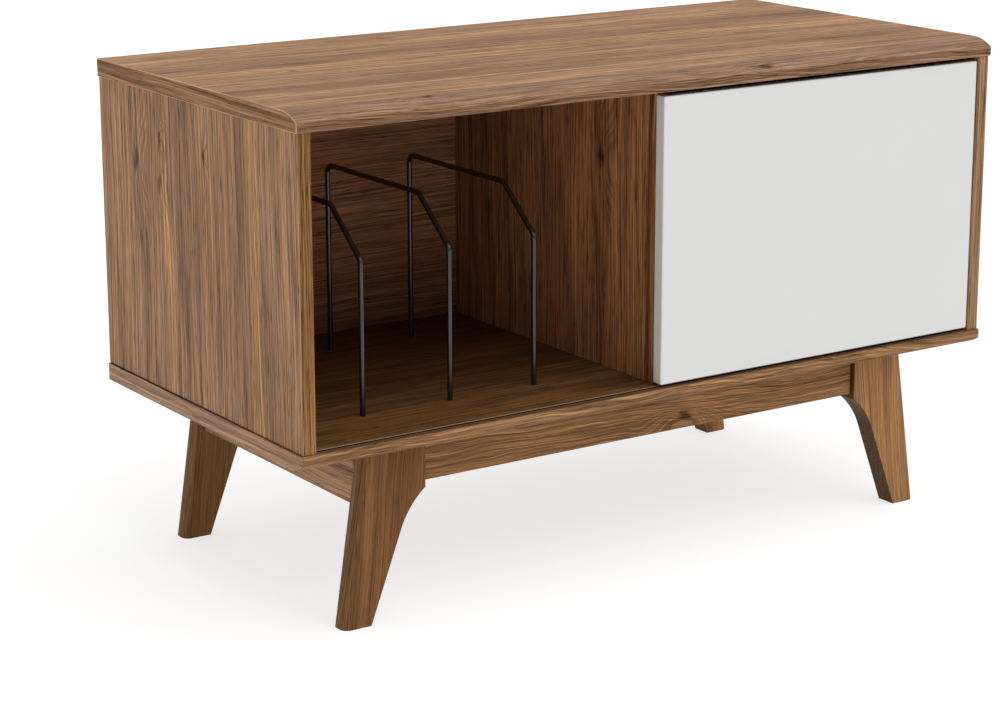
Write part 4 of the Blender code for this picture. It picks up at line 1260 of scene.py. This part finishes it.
@dataclass
class BaseFrame:
    """The splayed legs, the aprons between them and the side rails."""

    lean: float = 0.029
    foot_width: float = 0.034
    shoulder: float = 0.049
    arch_width: float = 0.0305
    arch_height: float = 0.041
    arch_steps: int = 24
    rounding: float = 0.010
    rounding_steps: int = 10
    arris: float = 0.0008
    tenon: float = 0.012
    tenon_shoulder: float = 0.005

    def outline(self, top_width: float, top_z: float) -> list[Vector]:
        """A right leg seen from the front, as (outward, up) from under its outer top corner.

        Args:
            top_width: the leg's width at the top.
            top_z: the height of its top.

        Returns:
            The corners of the outline.
        """
        foot = Vector((self.lean - self.foot_width, 0))
        arch_end = Vector((self.arch_width - top_width, top_z - self.shoulder - self.arch_height))
        arch_start = Vector((-top_width, top_z - self.shoulder))
        slope = (foot - arch_end).normalized()
        inward = Vector((slope.y, -slope.x))
        chord = arch_start - arch_end
        radius = chord.length_squared / (2 * chord.dot(inward))
        centre = arch_end + inward * radius
        first = arch_end - centre
        swing = first.angle_signed(arch_start - centre)
        corners = [Vector((0, top_z)), Vector((self.lean, 0)), foot]
        for step in range(self.arch_steps + 1):
            spoke = first.copy()
            spoke.rotate(Matrix.Rotation(-swing * step / self.arch_steps, 2))
            corners.append(centre + spoke)
        corners.append(Vector((-top_width, top_z)))
        return corners

    def leg(self, node: str, face: Finish, side: Finish) -> None:
        """Make and dress one leg.

        Args:
            node: the leg's node.
            face: the finish of its front and rear.
            side: the finish of its outer side.
        """
        low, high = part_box(node)
        way = 1 if high.x > 0 else -1
        inner, outer = sorted((abs(low.x), abs(high.x)))
        corner = outer - self.lean
        corners = [(way * (corner + out), low.y, up) for out, up in self.outline(corner - inner, high.z)]
        shape = drawn(corners, (0, high.y - low.y, 0))
        arrises = []
        for edge in shape.edges:
            ends = sorted(abs(vert.co.x) - corner for vert in edge.verts)
            level = abs(edge.verts[0].co.y - edge.verts[1].co.y) < MERGE
            if level and abs(ends[0]) < NEAR and abs(ends[1] - self.lean) < NEAR:
                arrises.append(edge)
        bmesh.ops.bevel(shape, geom=arrises, offset=self.rounding, offset_type="OFFSET",
                        segments=self.rounding_steps, profile=ROUND_PROFILE, affect="EDGES")
        piece = loose(node.replace("_leg", "_splayed_leg"), soften(shape, self.arris))
        smooth_over(piece)
        # The faces turned to the middle of the stand take a painted shade.
        dress(piece, face, side, inner=LEG_INNER_SHADED)
        settle(piece, "carcass", [node])

    def bar(self, name: str, node: str, axis: int, finish: Finish) -> None:
        """Make and dress an apron or a rail, with its tenons.

        Args:
            name: the piece's name.
            node: the node that it stands for.
            axis: 0 for a bar along X and 1 for one along Y.
            finish: its finish.
        """
        low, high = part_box(node)
        low[axis] += self.tenon
        high[axis] -= self.tenon
        shape = soften(block(low, high), self.arris)
        inset = Vector((self.tenon_shoulder,) * 3)
        inset[axis] = -self.tenon
        tenons = soften(block(low + inset, high - inset), self.arris)
        spare = bpy.data.meshes.new("tenons")
        tenons.to_mesh(spare)
        tenons.free()
        shape.from_mesh(spare)
        bpy.data.meshes.remove(spare)
        piece = loose(name, shape)
        smooth_over(piece)
        dress(piece, finish)
        settle(piece, "carcass", [node])

    def build(self) -> None:
        """Make and dress the base."""
        # The rear left leg's own finish paints its shade under the cabinet.
        for row, left_face in zip(ROWS, (LEG_LEFT, LEG_REAR_LEFT_SHADED)):
            self.leg(f"{row}_left_leg", left_face, LEG_LEFT_SIDE)
            self.leg(f"{row}_right_leg", LEG_RIGHT, LEG_RIGHT_SIDE)
            self.bar(f"apron_{row}", f"{row}_apron", 0, APRON_FACE)
        for side in SIDES:
            self.bar(f"rail_{side}", f"{side}_side_rail", 1, RAIL_FACE)


def set_inputs(modifier: bpy.types.Modifier, tree: bpy.types.NodeTree, values: dict[str, object]) -> None:
    """Set a Geometry Nodes modifier's inputs.

    Args:
        modifier: the modifier.
        tree: its tree.
        values: each input's name and value.
    """
    for item in tree.interface.items_tree:
        if item.in_out == "INPUT" and item.name in values:
            modifier[item.identifier] = values[item.name]


def grown(name: str, base: bpy.types.Object, tree: bpy.types.NodeTree,
          values: dict[str, object]) -> bpy.types.Object:
    """A plain mesh from an object and a Geometry Nodes tree.

    Args:
        name: the name of the new piece.
        base: the object that the tree works on, which is removed.
        tree: the tree.
        values: the tree's inputs.

    Returns:
        The new piece.
    """
    modifier = base.modifiers.new("grow", "NODES")
    modifier.node_group = tree
    set_inputs(modifier, tree, values)
    graph = bpy.context.evaluated_depsgraph_get()
    mesh = bpy.data.meshes.new_from_object(base.evaluated_get(graph))
    base.modifiers.clear()
    bpy.data.objects.remove(base, do_unlink=True)
    piece = bpy.data.objects.new(name, mesh)
    bpy.context.scene.collection.objects.link(piece)
    return piece


def points_at(name: str, places: Sequence[Vector], facing: Sequence[Vector]) -> bpy.types.Object:
    """An object of single points, each with the way that it faces.

    Args:
        name: the object's name.
        places: where the points are.
        facing: the way that each faces.

    Returns:
        The object.
    """
    mesh = bpy.data.meshes.new(name)
    mesh.from_pydata([tuple(place) for place in places], [], [])
    ways = mesh.attributes.new("facing", "FLOAT_VECTOR", "POINT")
    for slot, way in zip(ways.data, facing):
        slot.vector = way
    made = bpy.data.objects.new(name, mesh)
    bpy.context.scene.collection.objects.link(made)
    return made


class GrowTree(Wiring):
    """A Geometry Nodes tree that ends in Realize Instances and Set Material."""

    def __init__(self, name: str, inputs: dict[str, str]) -> None:
        """Make the tree with its geometry, its named inputs and its finish.

        Args:
            name: the tree's name.
            inputs: names of its inputs, each with its socket type.
        """
        tree = new_group(name, "GeometryNodeTree", {"Geometry": "Geometry", **inputs, "Finish": "Material"},
                         {"Geometry": "Geometry"})
        super().__init__(tree)
        self.given = self.add("NodeGroupInput").outputs

    def node(self, kind: str, inputs: dict[str, object] | None = None, **settings: object) -> bpy.types.Node:
        """Add a node and feed its inputs.

        Args:
            kind: the node's type, without its prefix.
            inputs: its inputs by name.
            settings: its own properties.

        Returns:
            The new node.
        """
        node = self.add("GeometryNode" + kind, **settings)
        for name, value in (inputs or {}).items():
            self.feed(node.inputs[name], value)
        return node

    def close(self, geometry: Socket) -> bpy.types.NodeTree:
        """End the tree.

        Args:
            geometry: what it puts out.

        Returns:
            The tree.
        """
        real = self.node("RealizeInstances", {"Geometry": geometry})
        worn = self.node("SetMaterial", {"Geometry": real.outputs[0], "Material": self.given["Finish"]})
        self.feed(self.add("NodeGroupOutput").inputs[0], worn.outputs[0])
        return self.tree


@dataclass
class RecordWires:
    """The bent rods that part the records, all from one path."""

    rod: float = 0.003
    span: float = 0.255
    rear_rise: float = 0.2185
    front_rise: float = 0.1685
    top_run: float = 0.1945
    bend: float = 0.010
    bend_steps: int = 10
    sides: int = 24
    count: int = 3

    def tree(self) -> bpy.types.NodeTree:
        """The tree that bends one path into a rod and repeats it.

        Returns:
            The tree.
        """
        grow = GrowTree("bent_rods", {"Rod": "Float", "Bend": "Float", "Bend steps": "Int", "Sides": "Int",
                                      "Count": "Int", "Start": "Vector", "Step": "Vector"})
        given = grow.given
        bent = grow.node("FilletCurve", {"Curve": given["Geometry"], "Radius": given["Bend"],
                                         "Count": given["Bend steps"]}, mode="POLY")
        ring = grow.node("CurvePrimitiveCircle", {"Radius": given["Rod"], "Resolution": given["Sides"]})
        rod = grow.node("CurveToMesh", {"Curve": bent.outputs[0], "Profile Curve": ring.outputs[0],
                                        "Fill Caps": True})
        row = grow.node("MeshLine", {"Count": given["Count"], "Start Location": given["Start"],
                                     "Offset": given["Step"]}, mode="OFFSET")
        rods = grow.node("InstanceOnPoints", {"Points": row.outputs[0], "Instance": rod.outputs[0]})
        return grow.close(rods.outputs[0])

    def build(self) -> None:
        """Make and dress the wires."""
        nodes = [f"wire_divider_{number}" for number in range(1, self.count + 1)]
        middles = [(low + high) / 2 for low, high in map(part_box, nodes)]
        low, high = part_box(nodes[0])
        top = high.z - self.rod
        drop = self.rear_rise - self.front_rise
        rear, front = self.span / 2, -self.span / 2
        path = [(rear, low.z), (rear, top), (rear - self.top_run, top), (front, top - drop), (front, low.z)]
        curve = bpy.data.curves.new("wire_path", "CURVE")
        curve.dimensions = "3D"
        line = curve.splines.new("POLY")
        line.points.add(len(path) - 1)
        for point, (y, z) in zip(line.points, path):
            point.co = (0, y, z, 1)
        base = bpy.data.objects.new("wire_path", curve)
        bpy.context.scene.collection.objects.link(base)
        values = {"Rod": self.rod, "Bend": self.bend, "Bend steps": self.bend_steps, "Sides": self.sides,
                  "Count": self.count, "Start": (middles[0].x, 0, 0),
                  "Step": (middles[1].x - middles[0].x, 0, 0), "Finish": WIRE_COAT.material()}
        piece = grown("record_wires", base, self.tree(), values)
        smooth_over(piece)
        settle(piece, "carcass", nodes)


@dataclass
class DoorTracks:
    """The channels that the door runs in."""

    slot_width: float = 0.004
    slot_depth: float = 0.004
    arris: float = 0.00035
    arris_steps: int = 2

    def channel(self, name: str, node: str, way: int) -> None:
        """Make and dress one channel.

        Args:
            name: the piece's name.
            node: the node that it stands for.
            way: 1 for one that opens upwards and -1 for one that opens downwards.
        """
        low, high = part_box(node)
        middle = (low.y + high.y) / 2
        half = self.slot_width / 2
        base, rim = (low.z, high.z) if way > 0 else (high.z, low.z)
        bed = rim - way * self.slot_depth
        outline = [(low.y, base), (high.y, base), (high.y, rim), (middle + half, rim),
                   (middle + half, bed), (middle - half, bed), (middle - half, rim), (low.y, rim)]
        shape = drawn([(low.x, y, z) for y, z in outline], (high.x - low.x, 0, 0))
        piece = loose(name, soften(shape, self.arris, self.arris_steps))
        smooth_over(piece)
        # The groove's faces take a painted shade and the rear lip a painted highlight.
        worn = [TRACK_PLASTIC, TRACK_GROOVE_SHADE, TRACK_LIP_HIGHLIGHT]
        piece.data.materials.clear()
        for finish in worn:
            piece.data.materials.append(finish.material())
        for polygon in piece.data.polygons:
            chosen = TRACK_PLASTIC
            if abs(polygon.center.y - middle) < half + MERGE:
                chosen = TRACK_GROOVE_SHADE
            elif polygon.center.y > middle:
                chosen = TRACK_LIP_HIGHLIGHT
            polygon.material_index = worn.index(chosen)
        settle(piece, "carcass", [node])

    def build(self) -> None:
        """Make and dress both channels."""
        self.channel("floor_channel", "bottom_track", 1)
        self.channel("ceiling_channel", "top_track", -1)


@dataclass
class SlidingDoor:
    """The white door, its rollers and its sprung guides."""

    arris: float = 0.0016
    arris_steps: int = 4
    housing_arris: float = 0.0004
    housing_arris_steps: int = 2
    wheel_slot: float = 0.0038
    wheel_room: float = 0.001
    rim_chamfer: float = 0.00075
    bore: float = 0.0017
    shaft: float = 0.0015
    shaft_chamfer: float = 0.0003
    lip: float = 0.002
    pin: float = 0.0015
    pin_tip_steps: int = 9
    shoulder: float = 0.003
    shoulder_height: float = 0.003
    spigot: float = 0.00105
    spigot_height: float = 0.004
    bush_wall: float = 0.0012
    bush_chamfer: float = 0.0004
    spring_wire: float = 0.00035
    spring_wire_sides: int = 10
    spring_turns: float = 7.0
    spring_turn_points: int = 28
    press: float = 0.005
    sides: int = 48

    def leaf(self) -> None:
        """Make and dress the door itself, with the pockets of its roller housings."""
        piece = loose("door_leaf", soften(block(*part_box("door_panel")), self.arris, self.arris_steps))
        pockets = []
        for side in SIDES:
            low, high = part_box(f"{side}_roller_housing")
            low, high = low - Vector((SEAT,) * 3), high + Vector((SEAT,) * 3)
            low.z -= OVERCUT
            pockets.append(block(low, high))
        cut_away(piece, pockets)
        smooth_over(piece)
        dress(piece, LACQUER, DOOR_EDGE_LIGHT)
        settle(piece, "door", ["door_panel"])

    def roller(self, side: str) -> None:
        """Make and dress one roller: its housing, wheel and shaft.

        Args:
            side: left or right.
        """
        low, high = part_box(f"{side}_roller_housing")
        wheel_low, wheel_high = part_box(f"{side}_roller_wheel")
        middle = (wheel_low + wheel_high) / 2
        radius = (wheel_high.x - wheel_low.x) / 2
        half = (wheel_high.y - wheel_low.y) / 2
        room = radius + self.wheel_room

        shape = soften(block(low, high), self.housing_arris, self.housing_arris_steps)
        housing = loose(f"{side}_housing", shape)
        slot_low = Vector((middle.x - room, middle.y - self.wheel_slot / 2, low.z - OVERCUT))
        slot_high = Vector((middle.x + room, middle.y + self.wheel_slot / 2, middle.z + room))
        cut_away(housing, [block(slot_low, slot_high)])
        smooth_over(housing)
        dress(housing, NYLON)
        settle(housing, "door", [f"{side}_roller_housing"])

        rim = radius - self.rim_chamfer
        tread = half - self.rim_chamfer
        profile = [(self.bore, -half), (rim, -half), (radius, -tread), (radius, tread), (rim, half),
                   (self.bore, half)]
        wheel = loose(f"{side}_wheel", turned(profile, self.sides, middle, (0, 1, 0), hollow=True))
        smooth_over(wheel)
        dress(wheel, NYLON)
        settle(wheel, f"{side}_roller", [f"{side}_roller_wheel"])

        shaft_low, shaft_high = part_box(f"{side}_roller_axle")
        length = shaft_high.y - shaft_low.y
        thin = self.shaft - self.shaft_chamfer
        profile = [(0, 0), (thin, 0), (self.shaft, self.shaft_chamfer),
                   (self.shaft, length - self.shaft_chamfer), (thin, length), (0, length)]
        foot = Vector((middle.x, shaft_low.y, middle.z))
        shaft = loose(f"{side}_shaft", turned(profile, self.sides, foot, (0, 1, 0)))
        smooth_over(shaft)
        dress(shaft, STEEL)
        settle(shaft, "door", [f"{side}_roller_axle"])

    def guide(self, side: str) -> None:
        """Make and dress one guide: its bush, pin and spring.

        Args:
            side: left or right.
        """
        low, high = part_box(f"{side}_guide_bush")
        middle = (low + high) / 2
        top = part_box("door_panel")[1].z
        foot = Vector((middle.x, middle.y, top))
        bore = self.shoulder + SEAT
        barrel = bore + self.bush_wall
        wide = (high.x - low.x) / 2
        under = low.z - top
        crown = high.z - top
        stem = self.pin + SEAT
        profile = [(bore, under), (barrel, under), (barrel, SEAT), (wide, SEAT),
                   (wide, crown - self.bush_chamfer), (wide - self.bush_chamfer, crown), (stem, crown),
                   (stem, -self.lip), (bore, -self.lip)]
        bush = loose(f"{side}_bush", turned(profile, self.sides, foot, hollow=True))
        smooth_over(bush)
        dress(bush, NYLON)
        settle(bush, "door", [f"{side}_guide_bush"])

        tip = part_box(f"{side}_guide_pin")[1].z - top
        collar = -self.lip - SEAT
        base = collar - self.shoulder_height
        end = base - self.spigot_height
        profile = [(0, end), (self.spigot, end), (self.spigot, base), (self.shoulder, base),
                   (self.shoulder, collar), (self.pin, collar)]
        for step in range(self.pin_tip_steps):
            angle = math.pi / 2 * step / self.pin_tip_steps
            profile.append((self.pin * math.cos(angle), tip - self.pin + self.pin * math.sin(angle)))
        profile.append((0, tip))
        pin = loose(f"{side}_pin_piece", turned(profile, self.sides, foot))
        smooth_over(pin)
        dress(pin, NYLON)
        settle(pin, f"{side}_pin", [f"{side}_guide_pin"])
        self.spring(side, middle)

    def spring_tree(self) -> bpy.types.NodeTree:
        """The tree that winds a spring.

        Returns:
            The tree, made on first use.
        """
        made = bpy.data.node_groups.get("wound_spring")
        if made:
            return made
        grow = GrowTree("wound_spring", {"Wire": "Float", "Coil": "Float", "Turns": "Float",
                                         "Height": "Float", "Foot": "Vector"})
        given = grow.given
        coil = grow.node("CurveSpiral", {"Resolution": self.spring_turn_points, "Rotations": given["Turns"],
                                         "Start Radius": given["Coil"], "End Radius": given["Coil"],
                                         "Height": given["Height"]})
        ring = grow.node("CurvePrimitiveCircle", {"Radius": given["Wire"],
                                                  "Resolution": self.spring_wire_sides})
        wire = grow.node("CurveToMesh", {"Curve": coil.outputs[0], "Profile Curve": ring.outputs[0],
                                         "Fill Caps": True})
        set_down = grow.node("Transform", {"Geometry": wire.outputs[0], "Translation": given["Foot"]})
        return grow.close(set_down.outputs[0])

    def spring(self, side: str, middle: Vector) -> None:
        """Make and dress one spring, with a mesh of its own.

        Args:
            side: left or right.
            middle: the middle of its bush.
        """
        node = f"{side}_guide_spring"
        low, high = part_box(node)
        coil = (high.x - low.x) / 2 - self.spring_wire
        base = points_at("spring_seed", [Vector((0, 0, 0))], [Vector((0, 0, 1))])
        values = {"Wire": self.spring_wire, "Coil": coil, "Turns": self.spring_turns,
                  "Height": high.z - low.z - 2 * self.spring_wire,
                  "Foot": (middle.x, middle.y, low.z + self.spring_wire), "Finish": STEEL.material()}
        piece = grown(f"{side}_spring", base, self.spring_tree(), values)
        smooth_over(piece)
        settle(piece, "door", [node])
        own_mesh(piece)

    def build(self) -> None:
        """Make and dress the door with all that it carries."""
        self.leaf()
        for side in SIDES:
            self.roller(side)
            self.guide(side)


@dataclass
class Fasteners:
    """Cam locks and case screws, repeated, and the bolts and studs inside the wood."""

    cam_radius: float = 0.0075
    cam_sides: int = 48
    cross_length: float = 0.009
    cross_width: float = 0.0018
    cross_depth: float = 0.0015
    head_radius: float = 0.005
    head_height: float = 0.004
    head_sides: int = 40
    key_radius: float = 0.002
    key_depth: float = 0.0025
    key_sides: int = 6
    shank_radius: float = 0.0035
    shank_sides: int = 24
    point: float = 0.006

    def cam_tree(self) -> bpy.types.NodeTree:
        """The tree that cuts a cross in a cam lock and repeats it.

        Returns:
            The tree.
        """
        grow = GrowTree("cam_locks", {"Radius": "Float", "Depth": "Float", "Cross length": "Float",
                                      "Cross width": "Float", "Cross depth": "Float"})
        given = grow.given
        drum = grow.node("MeshCylinder", {"Vertices": self.cam_sides, "Radius": given["Radius"],
                                          "Depth": given["Depth"]})
        sink = grow.math("MULTIPLY", given["Depth"], -0.5)
        drum = grow.node("Transform", {"Geometry": drum.outputs[0], "Translation": grow.join(0.0, 0.0, sink)})
        deep = grow.math("MULTIPLY", given["Cross depth"], 2.0)
        arms = [grow.join(given["Cross length"], given["Cross width"], deep),
                grow.join(given["Cross width"], given["Cross length"], deep)]
        cut = grow.node("MeshBoolean", {"Mesh 1": drum.outputs[0]}, operation="DIFFERENCE")
        for arm in arms:
            bar = grow.node("MeshCube", {"Size": arm})
            grow.feed(cut.inputs["Mesh 2"], bar.outputs[0])
        way = grow.node("InputNamedAttribute", {"Name": "facing"}, data_type="FLOAT_VECTOR")
        turn = grow.add("FunctionNodeAlignRotationToVector", axis="Z")
        grow.feed(turn.inputs["Vector"], way.outputs[0])
        locks = grow.node("InstanceOnPoints", {"Points": given["Geometry"], "Instance": cut.outputs[0],
                                               "Rotation": turn.outputs[0]})
        return grow.close(locks.outputs[0])

    def cam_locks(self) -> None:
        """Make and dress the six cam locks."""
        nodes = [f"{place}_cam_lock" for place in FASTENER_PLACES]
        spots, ways = [], []
        for node in nodes:
            low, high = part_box(node)
            way = -1 if node.startswith("right") else 1
            middle = (low + high) / 2
            spots.append(Vector((high.x if way > 0 else low.x, middle.y, middle.z)))
            ways.append(Vector((way, 0, 0)))
        values = {"Radius": self.cam_radius, "Depth": high.x - low.x, "Cross length": self.cross_length,
                  "Cross width": self.cross_width, "Cross depth": self.cross_depth, "Finish": ZINC.material()}
        piece = grown("cam_lock_set", points_at("cam_spots", spots, ways), self.cam_tree(), values)
        smooth_over(piece)
        settle(piece, "carcass", nodes)

    def screw_tree(self) -> bpy.types.NodeTree:
        """The tree that makes a screw with a six-sided socket and repeats it.

        Returns:
            The tree.
        """
        grow = GrowTree("case_screws", {"Head radius": "Float", "Head height": "Float", "Key radius": "Float",
                                        "Key depth": "Float", "Shank radius": "Float", "Length": "Float",
                                        "Point": "Float"})
        given = grow.given
        head = grow.node("MeshCylinder", {"Vertices": self.head_sides, "Radius": given["Head radius"],
                                          "Depth": given["Head height"]})
        half = grow.math("MULTIPLY", given["Head height"], 0.5)
        head = grow.node("Transform", {"Geometry": head.outputs[0], "Translation": grow.join(0.0, 0.0, half)})
        deep = grow.math("MULTIPLY", given["Key depth"], 2.0)
        key = grow.node("MeshCylinder", {"Vertices": self.key_sides, "Radius": given["Key radius"],
                                         "Depth": deep})
        cut = grow.node("MeshBoolean", {"Mesh 1": head.outputs[0]}, operation="DIFFERENCE")
        grow.feed(cut.inputs["Mesh 2"], key.outputs[0])
        ends = grow.math("ADD", given["Head height"], given["Point"])
        straight = grow.math("SUBTRACT", given["Length"], ends)
        shank = grow.node("MeshCylinder", {"Vertices": self.shank_sides, "Radius": given["Shank radius"],
                                           "Depth": straight})
        up = grow.math("MULTIPLY_ADD", straight, 0.5, given["Head height"])
        shank = grow.node("Transform", {"Geometry": shank.outputs[0], "Translation": grow.join(0.0, 0.0, up)})
        tip = grow.node("MeshCone", {"Vertices": self.shank_sides, "Radius Top": 0.0,
                                     "Radius Bottom": given["Shank radius"], "Depth": given["Point"]})
        up = grow.math("SUBTRACT", given["Length"], given["Point"])
        tip = grow.node("Transform", {"Geometry": tip.outputs[0], "Translation": grow.join(0.0, 0.0, up)})
        whole = grow.node("JoinGeometry")
        for part in (cut, shank, tip):
            grow.feed(whole.inputs[0], part.outputs[0])
        screws = grow.node("InstanceOnPoints", {"Points": given["Geometry"], "Instance": whole.outputs[0]})
        return grow.close(screws.outputs[0])

    def screws(self) -> None:
        """Make and dress the six case screws."""
        nodes = [f"{place}_screw" for place in FASTENER_PLACES]
        spots = []
        for node in nodes:
            low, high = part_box(node)
            middle = (low + high) / 2
            spots.append(Vector((middle.x, middle.y, low.z)))
        values = {"Head radius": self.head_radius, "Head height": self.head_height,
                  "Key radius": self.key_radius, "Key depth": self.key_depth,
                  "Shank radius": self.shank_radius, "Length": high.z - low.z, "Point": self.point,
                  "Finish": STEEL.material()}
        base = points_at("screw_spots", spots, [Vector((0, 0, 1))] * len(spots))
        piece = grown("case_screw_set", base, self.screw_tree(), values)
        smooth_over(piece)
        settle(piece, "carcass", nodes)

    def build(self, nodes: dict[str, bpy.types.Object]) -> None:
        """Make the fasteners that show, and give the hidden ones their finish.

        Args:
            nodes: the frame's node objects.
        """
        self.cam_locks()
        self.screws()
        for name, node in nodes.items():
            if name.endswith(("_cam_bolt", "_stud")):
                node.data.materials.clear()
                node.data.materials.append(STEEL.material())
                LOG.info("%s keeps its solid in %s", name, STEEL.name)


@dataclass
class Studio:
    """The pale floor, the soft lights and the camera."""

    camera_place: tuple[float, float, float] = (-1.7033, -2.4262, 0.9876)
    camera_yaw: float = 34.294
    camera_pitch: float = 14.119
    camera_lens: float = 94.60
    camera_sensor: float = 36.0
    camera_shift: tuple[float, float] = (-0.020, -0.037)
    camera_clip: tuple[float, float] = (0.05, 100.0)
    floor_size: float = 40.0
    floor_shade: float = 0.50
    floor_glow: float = 0.70
    floor_roughness: float = 0.8
    floor_gloss: float = 0.1
    sky: float = 0.50
    lamp: float = 1.1
    lamp_from: tuple[float, float, float] = (0.25, -0.45, 0.86)
    lamp_spread: float = 70.0

    def camera(self) -> None:
        """Place the camera at the photograph's viewing angle."""
        data = bpy.data.cameras.new("camera")
        data.lens = self.camera_lens
        data.sensor_width = self.camera_sensor
        data.shift_x, data.shift_y = self.camera_shift
        data.clip_start, data.clip_end = self.camera_clip
        camera = bpy.data.objects.new("camera", data)
        camera.location = self.camera_place
        camera.rotation_euler = (math.radians(90 - self.camera_pitch), 0, math.radians(-self.camera_yaw))
        bpy.context.scene.collection.objects.link(camera)
        bpy.context.scene.camera = camera

    def floor(self) -> None:
        """Lay the floor."""
        shape = bmesh.new()
        bmesh.ops.create_grid(shape, x_segments=1, y_segments=1, size=self.floor_size / 2)
        floor = loose("studio_floor", shape)
        material, _, shader = blank_material("pale_floor")
        shader.inputs["Base Color"].default_value = (self.floor_shade,) * 3 + (1.0,)
        shader.inputs["Emission Color"].default_value = WHITE
        shader.inputs["Emission Strength"].default_value = self.floor_glow
        shader.inputs["Roughness"].default_value = self.floor_roughness
        shader.inputs["Specular IOR Level"].default_value = self.floor_gloss
        floor.data.materials.append(material)

    def soft_lamp(self) -> None:
        """Hang the wide overhead light, which reaches all of the floor alike."""
        data = bpy.data.lights.new("overhead_light", "SUN")
        data.energy = self.lamp
        data.angle = math.radians(self.lamp_spread)
        light = bpy.data.objects.new("overhead_light", data)
        light.rotation_euler = (-Vector(self.lamp_from)).to_track_quat("-Z", "Y").to_euler()
        bpy.context.scene.collection.objects.link(light)

    def build(self) -> None:
        """Set up the studio."""
        scene = bpy.context.scene
        scene.view_settings.view_transform = "Standard"
        world = bpy.data.worlds.new("soft_sky")
        world.use_nodes = True
        wire = Wiring(world.node_tree)
        sky = world.node_tree.nodes["Background"]
        sky.inputs["Color"].default_value = WHITE
        seen = wire.add("ShaderNodeLightPath").outputs["Is Camera Ray"]
        wire.feed(sky.inputs["Strength"], wire.math("MULTIPLY_ADD", seen, 1.0 - self.sky, self.sky))
        scene.world = world
        self.floor()
        self.soft_lamp()
        self.camera()


def main() -> None:
    """Load the frame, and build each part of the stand."""
    logging.basicConfig(level=logging.INFO, format="%(name)s: %(message)s")
    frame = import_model()
    Studio().build()
    Cabinet().build()
    BaseFrame().build()
    RecordWires().build()
    DoorTracks().build()
    SlidingDoor().build()
    Fasteners().build(frame["nodes"])


if __name__ == "__main__":
    main()
